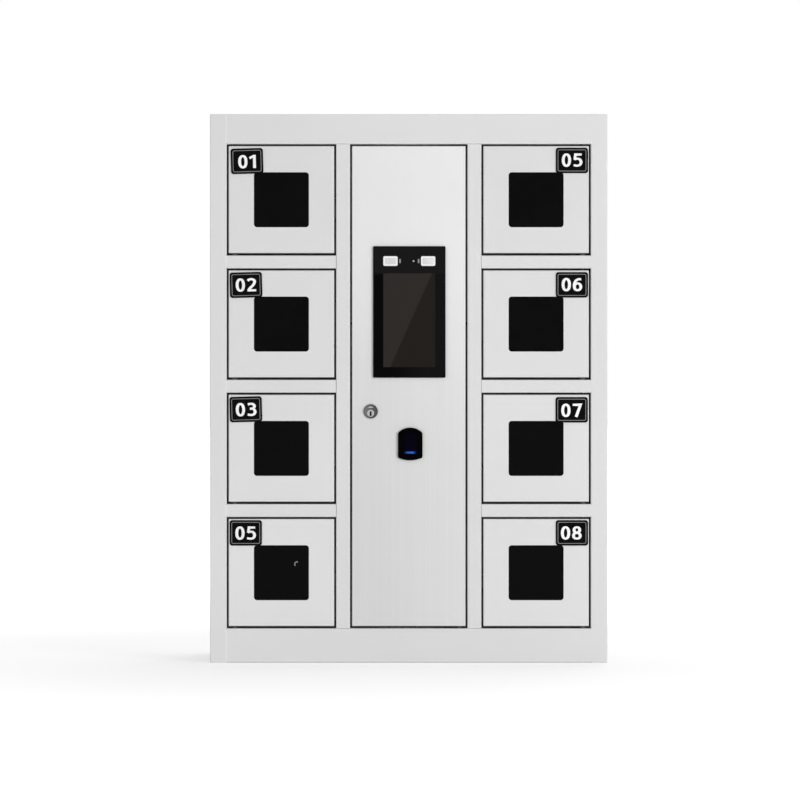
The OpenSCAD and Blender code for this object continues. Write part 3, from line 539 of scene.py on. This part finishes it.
# Circuit board: solder mask with traces, blue relays and green screw terminals, by where they stand
RELAYS_X, RELAYS_Z, BOARD_FACE = (-0.027, 0.027), 0.380, 0.0862
board, tree, shader = material("circuit board", (0.012, 0.11, 0.05), 0.35)
traces = add(tree, "ShaderNodeTexBrick", {"Vector": coordinates(tree, (1, 0, 1)), "Scale": 160.0,
                                          "Mortar Size": 0.035, "Color1": (0, 0, 0, 1),
                                          "Color2": (0, 0, 0, 1), "Mortar": (1, 1, 1, 1)}).outputs["Fac"]
mask = blend(tree, traces, (0.010, 0.10, 0.045), (0.03, 0.19, 0.09))
relays = product(tree, patch(tree, "X", *RELAYS_X), step(tree, axes(tree)["Z"], RELAYS_Z, RELAYS_Z + 0.001))
parts = blend(tree, relays, (0.02, 0.21, 0.09), (0.02, 0.09, 0.32))
proud = before(tree, "Y", BOARD_FACE, 0.0001)
tint(tree, shader, proud, mask, parts)
gloss(tree, shader, proud, 0.3, 0.45)
relief(tree, shader, traces, 0.00005)

# Power supply: bare aluminium, with painted shade that makes it dark and not metallic where its perforated
# lid lies over it
LID_X, LID_Y, LID_Z = (-0.0475, 0.0475), 0.0600, (0.1415, 0.2525)
supply_metal, tree, shader = material("supply case", (0.7, 0.71, 0.72), 0.4, Metallic=1.0)
# Painted shade under the lid
under = product(tree, before(tree, "Y", LID_Y), patch(tree, "X", *LID_X), patch(tree, "Z", *LID_Z))
rolled = use(tree, streak_tree, Fineness=700.0, Length=20.0)["Streaks"]
tint(tree, shader, under, blend(tree, rolled, (0.66, 0.67, 0.68), (0.75, 0.76, 0.77)), grey(0.008))
tree.links.new(rest_of(tree, under), shader.inputs["Metallic"])
gloss(tree, shader, rolled, 0.34, 0.46)

FINISHES = {
    "cabinet_paint": cabinet_paint, "door_paint": door_paint, "pin_steel": pin_black,
    "lock_case_zinc": lock_zinc, "wire_sleeve": sleeve, "circuit_board": board,
    "supply_case": supply_metal, "black_rubber": rubber, "terminal_plastic": case_black,
    "terminal_glass": front_glass, "screen": screen, "lamp_white": lamp_white,
    "sensor_grey": lens_grey, "bracket_zinc": zinc, "reader_plastic": reader_black,
    "reader_glass": reader_glass, "lamp_blue": lamp_blue, "lock_chrome": lock_chrome,
    "plug_steel": plug_metal, "smoked_acrylic": smoked, "tag_black": plate_black,
    "hook_zinc": yellow_zinc}

for entry in frame["record"]["subparts"]:
    finish = centre_paint if entry["node"] == "centre_door" else FINISHES[entry["material_slot"]]
    for holder in nodes[entry["node"]].material_slots:
        holder.material = finish


# Surfaces

def skin(grid, wrap_rows=False):
    """Closed skin on a grid of points. Each point is joined to its neighbours in its row and column,
    every row closes on itself, and the first and last rows are capped or joined to each other.
    The faces are turned about where the volume that they enclose comes out negative."""
    rows, columns = grid.shape[:2]
    index = np.arange(rows * columns).reshape(rows, columns)
    wide = np.hstack([index, index[:, :1]])
    if wrap_rows:
        wide = np.vstack([wide, wide[:1]])
    quads = np.stack([wide[:-1, :-1], wide[1:, :-1], wide[1:, 1:], wide[:-1, 1:]], -1).reshape(-1, 4)
    ends = [] if wrap_rows else [index[0], index[-1][::-1]]
    points = grid.reshape(-1, 3)
    corners = [quads[:, [0, 1, 2]], quads[:, [0, 2, 3]]]
    corners += [np.stack([np.full(columns - 2, end[0]), end[1:-1], end[2:]], -1) for end in ends]
    a, b, c = points[np.concatenate(corners)].transpose(1, 0, 2)
    if np.einsum("ij,ij->i", a, np.cross(b, c)).sum() < 0:
        quads = quads[:, ::-1]
        ends = [end[::-1] for end in ends]
    return points, quads.tolist() + [end.tolist() for end in ends]


# Folds sharper than this stay sharp
SMOOTH = np.radians(35)


def piece(name, shells, finish, body):
    """Mesh object from skins in millimetres. It rides on a body and takes its finish from a slot."""
    points, faces, start = [], [], 0
    for some_points, some_faces in shells:
        points.append(some_points)
        faces += [[corner + start for corner in face] for face in some_faces]
        start += len(some_points)
    mesh = bpy.data.meshes.new(name)
    mesh.from_pydata((np.concatenate(points) * MM).tolist(), [], faces)
    mesh.polygons.foreach_set("use_smooth", np.ones(len(faces), bool))
    mesh.set_sharp_from_angle(angle=SMOOTH)
    mesh.materials.append(finish)
    made = bpy.data.objects.new(name, mesh)
    bpy.context.scene.collection.objects.link(made)
    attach(made, body)


FACES = {"front": ((1, 0, 0), (0, 0, 1), (0, -1, 0)), "back": ((-1, 0, 0), (0, 0, 1), (0, 1, 0)),
         "left": ((0, -1, 0), (0, 0, 1), (-1, 0, 0)), "right": ((0, 1, 0), (0, 0, 1), (1, 0, 0)),
         "up": ((1, 0, 0), (0, 1, 0), (0, 0, 1))}


def stand(grid, origin, facing="front"):
    """Puts a grid drawn across, up and out of a face on that face: origin plus each coordinate along
    the face's own direction for it."""
    return np.asarray(origin, float) + grid @ np.array(FACES[facing], float)


def round_rectangle(width, height, radius, steps=5):
    """Outline of four quarter circles about the corners' centres, joined by straight sides."""
    angle = np.linspace(0, np.pi / 2, steps)
    turn = np.concatenate([angle + quarter * np.pi / 2 for quarter in range(4)])
    sign_x = np.repeat([1, -1, -1, 1], steps)
    sign_y = np.repeat([1, 1, -1, -1], steps)
    return np.stack([sign_x * (width / 2 - radius) + radius * np.cos(turn),
                     sign_y * (height / 2 - radius) + radius * np.sin(turn)], -1)


def ellipse(across, up, steps=32):
    """Outline at the cosine and sine of a full turn, times the half widths."""
    turn = np.arange(steps) * TURN / steps
    return np.stack([across * np.cos(turn), up * np.sin(turn)], -1)


def outward(outline):
    """Unit normals of a closed outline: the difference of each point's neighbours, turned a quarter."""
    along = np.roll(outline, -1, 0) - np.roll(outline, 1, 0)
    along /= np.linalg.norm(along, axis=1, keepdims=True)
    return np.stack([along[:, 1], -along[:, 0]], -1)


def block(outline, steps, origin, facing="front"):
    """Solid on an outline: at each step of inset and height the outline moves in along its normals by
    the inset and stands at the height."""
    inset, height = np.array(steps, float).T
    flat = outline[None] - inset[:, None, None] * outward(outline)[None]
    rise = np.broadcast_to(height[:, None, None], (*flat.shape[:2], 1))
    return skin(stand(np.concatenate([flat, rise], -1), origin, facing))


def slab(width, height, depth, radius, origin, facing="front", bevel=0.3):
    """Rounded plate whose free edges are bevelled."""
    return block(round_rectangle(width, height, radius),
                 [(0, 0), (0, depth - bevel), (bevel * 0.3, depth - bevel * 0.3), (bevel, depth)],
                 origin, facing)


def turned(profile, origin, facing="front", steps=24):
    """Solid of revolution: each radius and height of the profile is carried round a full turn."""
    radius, height = np.array(profile, float).T
    angle = np.arange(steps) * TURN / steps
    grid = np.stack([radius[:, None] * np.cos(angle), radius[:, None] * np.sin(angle),
                     np.broadcast_to(height[:, None], (len(radius), steps))], -1)
    return skin(stand(grid, origin, facing))


# Reach and half width of the bars in a screw's recess, as shares of its radius
RECESS_REACH, RECESS_HALF = 0.62, 0.17


def screw(radius, height, origin, facing="front", steps=16):
    """Domed head with a cross recess. The recess is the wider of two crossed bars at each angle: a bar
    reaches as far as its end or its side allows, whichever comes first."""
    angle = (np.arange(steps) + 0.5) * TURN / steps
    far, side = RECESS_REACH * radius, RECESS_HALF * radius
    reach = [np.minimum(far / np.abs(f(angle)), side / np.abs(g(angle)))
             for f, g in ((np.cos, np.sin), (np.sin, np.cos))]
    cross = np.maximum(*reach)
    ring = np.ones(steps)
    rows = [(radius * ring, 0), (radius * ring, 0.35 * height), (0.93 * radius * ring, 0.68 * height),
            (0.75 * radius * ring, 0.93 * height), (np.maximum(cross, 0.45 * radius), height),
            (cross, height), (0.8 * cross, 0.35 * height)]
    grid = np.stack([np.stack([r * np.cos(angle), r * np.sin(angle), h * ring], -1) for r, h in rows])
    return skin(stand(grid, origin, facing))


def ribbon(path, across, profile, closed, place):
    """Profile carried along a flat path. Each point of the path moves to both sides along the normal
    by the profile's share of the half width there, and up by the profile's height. Where the path
    bends, the half width grows by one over the cosine of half the bend, so that sides stay parallel."""
    ahead = (np.roll(path, -1, 0) if closed else np.vstack([path[1:], 2 * path[-1:] - path[-2:-1]])) - path
    behind = np.roll(ahead, 1, 0) if closed else np.vstack([ahead[:1], ahead[:-1]])
    ahead = ahead / np.linalg.norm(ahead, axis=1, keepdims=True)
    behind = behind / np.linalg.norm(behind, axis=1, keepdims=True)
    along = ahead + behind
    along /= np.linalg.norm(along, axis=1, keepdims=True)
    stretch = 1 / np.clip(np.sum(along * ahead, axis=1), 0.45, 1)
    normal = np.stack([-along[:, 1], along[:, 0]], -1)
    share, height = np.array(profile, float).T
    half = (across(along) * stretch)[:, None, None]
    flat = path[:, None, :] + half * share[None, :, None] * normal[:, None, :]
    rise = np.broadcast_to(height[None, :, None], (*flat.shape[:2], 1))
    return skin(place(np.concatenate([flat, rise], -1)), wrap_rows=closed)


def spline(points, steps=8):
    """Smooth path through points: on each stretch the cubic whose slope at a point is half the
    difference of that point's neighbours."""
    points = np.array(points, float)
    padded = np.vstack([2 * points[0] - points[1], points, 2 * points[-1] - points[-2]])
    p0, p1, p2, p3 = (padded[k:len(padded) - 3 + k, None] for k in range(4))
    t = np.linspace(0, 1, steps, endpoint=False)[None, :, None]
    curve = 0.5 * (2 * p1 + (p2 - p0) * t + (2 * p0 - 5 * p1 + 4 * p2 - p3) * t ** 2
                   + (3 * p1 - p0 - 3 * p2 + p3) * t ** 3)
    return np.vstack([curve.reshape(-1, 2), points[-1:]])


# Number tags

TAG_W, TAG_H = 40.6, 32.0
TAG_FRONT = FRONT - 1.0
# Tilt of the upper left tags in degrees, the numbers as the photo shows them, and how far each number
# was printed from the middle of its tag
LEAN = {1: 1.5, 2: 1.5, 3: 1.5}
SHOWN = {1: "01", 2: "02", 3: "03", 4: "05", 5: "05", 6: "06", 7: "07", 8: "08"}
SLIPS = {1: (0, -0.7), 3: (0.3, -0.3), 4: (-0.2, -0.3), 5: (0.1, 0.4), 6: (-0.1, 0.3), 7: (-0.3, -0.7),
         8: (-1.0, -0.1)}
# Widths of an upright and a level stroke, and how the drawn digits are lowered to the height in the photo
STEM, BAR = 3.65, 2.65
TALL = 0.945
# Room for a digit, for a 1 and between two digits, thickness of the print and of each further stroke
DIGIT_W, ONE_W, DIGIT_GAP = 12.4, 8.8, 1.8
PRINT_H, LAYER_H = 0.12, 0.02
# Line round the tag: how much less wide and high than the tag, corner radius, half width, thickness
BORDER_IN, BORDER_R, BORDER_HALF, BORDER_H = 5.4, 1.9, 0.42, 0.08


def loop(centre_y, across, up):
    """Closed oval path, a little squarer than an ellipse."""
    turn = np.arange(40) * TURN / 40
    x, y = np.cos(turn), np.sin(turn)
    squarer = [np.sign(v) * np.abs(v) ** 0.9 for v in (x, y)]
    return np.stack([across * squarer[0], centre_y + up * squarer[1]], -1), True


def line(*points):
    """Open path with straight stretches and sharp corners."""
    return np.array(points, float), False


def curve(*points):
    """Open smooth path through points."""
    return spline(points), False


# Strokes of each digit: the path down its middle, in millimetres about the digit's centre
DIGITS = {
    "0": [loop(0, 4.0, 7.5)],
    "1": [line((2.2, -8.8), (2.2, 8.7)), line((-3.9, 4.4), (-1.0, 6.1), (2.2, 7.4))],
    "2": [curve((-4.9, 5.6), (-2.6, 7.2), (0.6, 7.4), (3.4, 5.7), (3.6, 2.8), (1.8, -0.4),
                (-1.2, -3.5), (-3.9, -6.6)), line((-5.4, -7.4), (5.6, -7.4))],
    "3": [curve((-4.7, 6.7), (-1.8, 7.4), (1.6, 7.0), (3.5, 4.5), (2.0, 1.7), (-2.2, 0.9)),
          curve((-2.2, 0.9), (2.2, 0.4), (4.2, -3.2), (2.4, -6.6), (-1.4, -7.4), (-5.2, -6.6))],
    "5": [line((5.0, 7.4), (-2.9, 7.4), (-3.6, 0.6)),
          curve((-4.2, 1.0), (-0.9, 1.9), (2.6, 0.9), (4.2, -2.7), (2.7, -6.3), (-1.0, -7.4), (-5.2, -6.7))],
    "6": [loop(-2.9, 4.0, 4.5), curve((4.6, 7.0), (1.2, 7.2), (-2.1, 5.1), (-3.9, 1.2), (-4.1, -2.8))],
    "7": [line((-5.6, 7.4), (4.2, 7.4), (-1.4, -8.8))],
    "8": [loop(4.0, 3.5, 3.5), loop(-3.7, 4.2, 3.8)]}


def pen(direction):
    """Half width of a stroke: wide where it runs up and down, thin where it runs across."""
    return (BAR + (STEM - BAR) * np.abs(direction[:, 1]) ** 1.5) / 2


def even(half):
    """Half width that stays the same."""
    return lambda direction: np.full(len(direction), half)


def raised(height):
    """Profile of a layer of print with rounded edges, as shares of the half width and heights."""
    return [(-1, 0), (-0.98, height * 0.6), (-0.9, height), (0.9, height), (0.98, height * 0.6), (1, 0)]


for number in DOORS:
    x, _, z = middle(f"tag_{number}")
    angle = np.radians(LEAN.get(number, 0.0))
    lean = np.array([[np.cos(angle), np.sin(angle), 0], [-np.sin(angle), np.cos(angle), 0], [0, 0, 1]])

    def on_tag(grid, shift=(0, 0)):
        """Puts a grid drawn about a shifted centre on this tag."""
        return stand((grid + (*shift, 0)) @ lean, (x, TAG_FRONT, z))

    text = SHOWN[number]
    slip_x, slip_y = SLIPS.get(number, (0, 0))
    widths = [ONE_W if digit == "1" else DIGIT_W for digit in text]
    start = slip_x - (sum(widths) + DIGIT_GAP) / 2
    strokes = []
    for rank, digit in enumerate(text):
        shift = start + sum(widths[:rank]) + DIGIT_GAP * rank + widths[rank] / 2
        for layer, (path, closed) in enumerate(DIGITS[digit]):
            strokes.append(ribbon(path * (1, TALL), pen, raised(PRINT_H + LAYER_H * layer), closed,
                                  lambda grid: on_tag(grid, (shift, slip_y))))
    body = f"door_{number}"
    piece(f"digits_{number}", strokes, print_white, body)
    border = round_rectangle(TAG_W - BORDER_IN, TAG_H - BORDER_IN, BORDER_R)
    piece(f"border_{number}", [ribbon(border, even(BORDER_HALF), raised(BORDER_H), True, on_tag)],
          print_grey, body)


# Welded seams of the front, ground flush, between the folded edges of the side panels and the ends of
# the head, the sill and the rails

def seam(side, low, high):
    """Bead with a constant section: along the fold's own arc, a little inside it, and back over a front
    that rises by a twentieth of a millimetre in the middle."""
    angle = np.linspace(0, np.pi / 2, 7)
    radius = FOLD - 0.05
    across = np.concatenate([radius * np.sin(angle), [FOLD + 0.25, FOLD + 0.25, 0.8, -0.16]])
    deep = np.concatenate([FOLD - radius * np.cos(angle), [FOLD, 0.03, -0.05, 0.03]])
    heights = np.array([low, high])
    return skin(np.stack(np.broadcast_arrays(side * (CELL_X + FOLD - across), FRONT + deep,
                                             heights[:, None]), -1))


# A seam ends this far inside both edges of the sill, the head or a rail of the height given
SEAM_IN, RAIL_H = 1.2, 16.4
RAILS_Z = [level + CELL_H / 2 for level in LEVELS[1:]]
SEAMS = [(low + SEAM_IN, high - SEAM_IN)
         for low, high in [(0, SILL_Z), (HEAD_Z, TOP_Z)] + [(z, z + RAIL_H) for z in RAILS_Z]]
for side, name, paint in ((-1, "left", seam_highlight_paint), (1, "right", cabinet_paint)):
    piece(f"weld_seams_{name}", [seam(side, low, high) for low, high in SEAMS],
          paint, "cabinet")


# Small doors

# Studs are this far from the middle of each pane, with nuts of this radius
STUD_X, STUD_Z, NUT_R = 28, 46.5, 3.2


def stud(x, z):
    """Stud welded to the back of the door's sheet beside the pane, with a washer that laps over the
    pane and a six-sided nut."""
    hexagon = ellipse(NUT_R, NUT_R, 6)
    spot = (x, PANE_BACK, z)
    return [turned([(5.2, 0), (5.2, 0.6), (4.9, 0.9), (1.7, 0.9)], spot, "back"),
            block(hexagon, [(0, 0.9), (0, 2.9), (0.35, 3.2)], spot, "back"),
            turned([(1.5, -3), (1.5, 4.6), (1.1, 5.0)], spot, "back", 16)]


for number in DOORS:
    x, _, level = middle(f"window_{number}")
    shells = [shell for dx in (-STUD_X, STUD_X) for dz in (-STUD_Z, STUD_Z)
              for shell in stud(x + dx, level + dz)]
    piece(f"pane_studs_{number}", shells, screw_steel, f"door_{number}")

# Small pale mark on the pane of the lower left door
glint = spline([(-143.0, 121.6), (-143.4, 124.4), (-141.4, 126.8), (-139.4, 126.0)])
piece("pane_mark_4", [ribbon(glint, even(0.7), raised(0.1), False,
                             lambda grid: stand(grid, (0, FRONT + SHEET, 0)))],
      print_grey, "door_4")


# Terminal, reader and cam lock

LIGHT_LOW, LIGHT_HIGH = span("terminal_lights")
LIGHT_W = 18.0
RIBS, RIB_PITCH = 4, 1.85
ribs = []
for x in (LIGHT_LOW[0] + LIGHT_W / 2, LIGHT_HIGH[0] - LIGHT_W / 2):
    z = (LIGHT_LOW[2] + LIGHT_HIGH[2]) / 2
    ribs.append(slab(14, 7.6, 0.12, 0.8, (x, LIGHT_LOW[1], z), bevel=0.1))
    ribs += [slab(13.4, 1.3, 0.3, 0.5, (x, LIGHT_LOW[1], z + (rib - (RIBS - 1) / 2) * RIB_PITCH), bevel=0.25)
             for rib in range(RIBS)]
piece("lamp_ribs", ribs, lamp_grey, "centre_door")

LENS = (6.0, LIGHT_LOW[1], 505.0)
piece("lens_ring", [ribbon(ellipse(2.0, 2.0), even(0.5), raised(0.3), True, lambda grid: stand(grid, LENS))],
      case_black, "centre_door")

# Frame that holds the reader from behind the door: width, height and corner radius along its middle
reader_x, _, reader_z = middle("fingerprint_housing")
COLLAR, COLLAR_HALF = (29, 37, 4), 2.2
collar = [(-1, 0), (-1, 2.6), (-0.85, 3), (0.85, 3), (1, 2.6), (1, 0)]
piece("reader_collar", [ribbon(round_rectangle(*COLLAR), even(COLLAR_HALF), collar, True,
                               lambda grid: stand(grid, (reader_x, FRONT + SHEET, reader_z), "back"))],
      case_black, "centre_door")

bracket = span("terminal_bracket")
foot_x, foot_z = middle("terminal_bracket")[[0, 2]]
FOOT_W = 10
FOOT_X, FOOT_Z = (bracket[1][0] - bracket[0][0] - FOOT_W) / 2, 7
piece("bracket_screws", [screw(3.2, 1.9, (foot_x + dx, FRONT + 2 * SHEET, foot_z + dz), "back")
                         for dx in (-FOOT_X, FOOT_X) for dz in (-FOOT_Z, FOOT_Z)],
      screw_steel, "centre_door")

# Bright crescent on the upper part of the cam lock's head: a raised strip of brighter metal that stands for a
# painted highlight
LOCK_X, LOCK_Y, LOCK_Z = -47.9, span("lock_barrel")[0][1], 316.0
CRESCENT_R, CRESCENT_DOWN = 6.6, 1.2
angle = np.radians(np.linspace(64, 116, 11))
crescent = np.stack([CRESCENT_R * np.cos(angle), CRESCENT_R * np.sin(angle) - CRESCENT_DOWN], -1)


def swelling(direction):
    """Half width that is largest where the path runs level and thin towards both ends."""
    return 0.15 + 0.6 * np.clip((np.abs(direction[:, 0]) - 0.88) / 0.12, 0, 1)


piece("lock_crescent", [ribbon(crescent, swelling, raised(0.15), False,
                               lambda grid: stand(grid, (LOCK_X, LOCK_Y, LOCK_Z)))],
      crescent_highlight_metal, "centre_door")


# Electric locks and wiring

SIDES = {-1: "left", 1: "right"}
CASE_X = span("lock_bodies")[1][0]
# Hook pins, screws and wire sockets of the cases: heights are from the middle of each lock
HOOK_PIN_Y, HOOK_PIN_UP = -54, 3
CASE_SCREW_Y, CASE_SCREWS_UP = -24, (22, -17)
SOCKET_X, SOCKET_Y = 98.9, -10
# Middle and radius of the trunks, and the heights of the ties round them
TRUNK_X, TRUNK_Y, TRUNK_R = 83.4, 8, 3.5
TIES_Z = np.arange(150, 580, 52.1)
fasteners, plugs, ties = [], [], []
for side, facing in SIDES.items():
    for level in LEVELS:
        fasteners.append(turned([(2.6, 0), (2.6, 0.5), (2.2, 0.9), (1.2, 1.1)],
                                (side * CASE_X, HOOK_PIN_Y, level + HOOK_PIN_UP), facing, 16))
        fasteners += [screw(2.4, 1.3, (side * CASE_X, CASE_SCREW_Y, level + up), facing)
                      for up in CASE_SCREWS_UP]
        plugs.append(slab(8, 10, 7, 1, (side * SOCKET_X, SOCKET_Y, level), "back", 0.6))
    for z in TIES_Z:
        ties.append(turned([(3.4, 0), (4.0, 0.1), (4.1, 0.5), (4.1, 2.1), (4.0, 2.5), (3.4, 2.6)],
                           (side * TRUNK_X, TRUNK_Y, z), "up", 16))
        ties.append(slab(4.4, 3.4, 2.6, 0.6, (side * TRUNK_X, TRUNK_Y - TRUNK_R - 0.1, z + 1.3), bevel=0.4))
piece("lock_screws", fasteners, screw_steel, "cabinet")
piece("lock_connectors", plugs, tie_nylon, "cabinet")
piece("cable_ties", ties, tie_nylon, "cabinet")


# Control board and power supply

# Faces of the board and of its screw terminals, then the places of what stands on it
BOARD_Y, BLOCK_Y = 86.4, 75.4
RELAY_X, RELAY_Y = 15.2, span("control_board")[0][1]
RELAY_Z = [397.5, 419.5, 441.5, 463.5]
CHIPS_Z, CHIP_X, CANS_Z, CAN_X, LED_X = 486, 26, 375, 24, 30.5
CLAMP_X, CLAMPS_Z = 41, np.arange(385, 476, 10)
CORNER_X, CORNERS_Z = 44, (361, 499)
chips = [slab(12, 12, 1.5, 0.4, (0, BOARD_Y, CHIPS_Z))]
chips += [slab(16, 6, 2.2, 0.4, (x, BOARD_Y, CHIPS_Z)) for x in (-CHIP_X, CHIP_X)]
piece("board_chips", chips, chip_black, "cabinet")
piece("board_cans", [turned([(4, 0), (4, 9.2), (3.8, 9.8), (3.3, 10)], (x, BOARD_Y, CANS_Z))
                     for x in (-CAN_X, CAN_X)],
      can_sleeve, "cabinet")
piece("board_lamps", [turned([(1.5, 0), (1.5, 1.4), (1.2, 2.2), (0.6, 2.6)], (x, BOARD_Y, z), steps=12)
                      for x in (-LED_X, LED_X) for z in RELAY_Z],
      red_led, "cabinet")
piece("relay_caps", [slab(16.6, 12.6, 0.4, 0.8, (x, RELAY_Y, z)) for x in (-RELAY_X, RELAY_X)
                     for z in RELAY_Z],
      relay_blue, "cabinet")
heads = [screw(1.9, 0.7, (x, BLOCK_Y, z)) for x in (-CLAMP_X, CLAMP_X) for z in CLAMPS_Z]
heads += [screw(3.0, 1.6, (x, BOARD_Y, z)) for x in (-CORNER_X, CORNER_X) for z in CORNERS_Z]
piece("board_screws", heads, screw_steel, "cabinet")


def perforated(width, height, columns, rows, hole, depth, origin):
    """Plate of equal cells with a round hole in each. The eight points on a cell's edge are joined to
    the eight points of its hole, front and back. Points shared by neighbours are merged, and walls
    stand only where all four corners lie on the plate's outline."""
    corner = np.array([(1, 0), (1, 1), (0, 1), (-1, 1), (-1, 0), (-1, -1), (0, -1), (1, -1)])
    edge = corner * (width / columns / 2, height / rows / 2)
    turn = np.arange(8) * TURN / 8
    ring = hole * np.stack([np.cos(turn), np.sin(turn)], -1)
    rings = np.stack([np.column_stack([flat, np.full(8, rise)]) for flat, rise in
                      ((edge, depth), (ring, depth), (ring, 0), (edge, 0))])
    across = (np.arange(columns) - (columns - 1) / 2) * width / columns
    up = (np.arange(rows) - (rows - 1) / 2) * height / rows
    centres = np.stack([*np.meshgrid(across, up), np.zeros((rows, columns))], -1).reshape(-1, 1, 1, 3)
    points, index = np.unique((centres + rings).reshape(-1, 3).round(4), axis=0, return_inverse=True)
    index = index.reshape(-1, 4, 8)
    after, below, beside = np.roll(index, -1, 2), np.roll(index, -1, 1), np.roll(index, (-1, -1), (1, 2))
    quads = np.stack([index, after, beside, below], -1)
    walls = quads[:, 3].reshape(-1, 4)
    flat = np.abs(points[walls][..., :2]) > (width / 2 - 0.001, height / 2 - 0.001)
    walls = walls[flat.all(1).any(1)]
    faces = np.vstack([quads[:, :3].reshape(-1, 4), walls])
    return stand(points, origin), faces.tolist()


# Lid and terminal strip of the supply
LID_MIDDLE = (0, span("power_supply")[0][1], 197)
STRIP_Y, STRIP_Z, STRIP_D = 79.0, 261.5, 8
piece("supply_lid", [perforated(96, 112, 16, 18, 2.0, 0.8, LID_MIDDLE)], aluminium, "cabinet")
piece("supply_terminals", [slab(64, 12, STRIP_D, 0.8, (0, STRIP_Y, STRIP_Z))],
      chip_black, "cabinet")
piece("supply_screws", [screw(2.6, 0.9, (x, STRIP_Y - STRIP_D, STRIP_Z)) for x in np.arange(-24, 25, 12)],
      screw_steel, "cabinet")


# Floor, backdrop and light of the surroundings

def seen(tree):
    """1 for rays from the camera, from gloss and through glass, else 0."""
    path = add(tree, "ShaderNodeLightPath").outputs
    first = calc(tree, "MAXIMUM", path["Is Camera Ray"], path["Is Glossy Ray"])
    return calc(tree, "MAXIMUM", first, path["Is Transmission Ray"])


floor_mesh = bpy.data.meshes.new("floor")
REACH, FLOOR_Z = 40.0, -0.0002
floor_mesh.from_pydata([(x * REACH, y * REACH, FLOOR_Z) for x, y in ((-1, -1), (1, -1), (1, 1), (-1, 1))],
                       [], [(0, 1, 2, 3)])
floor = bpy.data.objects.new("floor", floor_mesh)
bpy.context.scene.collection.objects.link(floor)
floor_paint, tree, shader = material("pale floor", grey(0.8), 0.9, Specular_IOR_Level=0.0)
shader.inputs["Emission Color"].default_value = (1, 1, 1, 1)
# The floor's glow grows over this distance from the cabinet, until it is as white as the surroundings
FADE, GLOW = (0.45, 2.2), (0.34, 1.0)
away = add(tree, "ShaderNodeVectorMath", {0: coordinates(tree)}, operation="LENGTH").outputs["Value"]
tree.links.new(product(tree, seen(tree), step(tree, away, *FADE, *GLOW)), shader.inputs["Emission Strength"])
floor_mesh.materials.append(floor_paint)

world = bpy.data.worlds.new("studio")
world.use_nodes = True
bpy.context.scene.world = world
tree = world.node_tree
background = tree.nodes["Background"]
background.inputs["Color"].default_value = (1, 1, 1, 1)
# Surfaces get this share of the white that the camera sees
AMBIENT = 0.55
tree.links.new(calc(tree, "ADD", product(tree, seen(tree), 1.0 - AMBIENT), AMBIENT),
               background.inputs["Strength"])
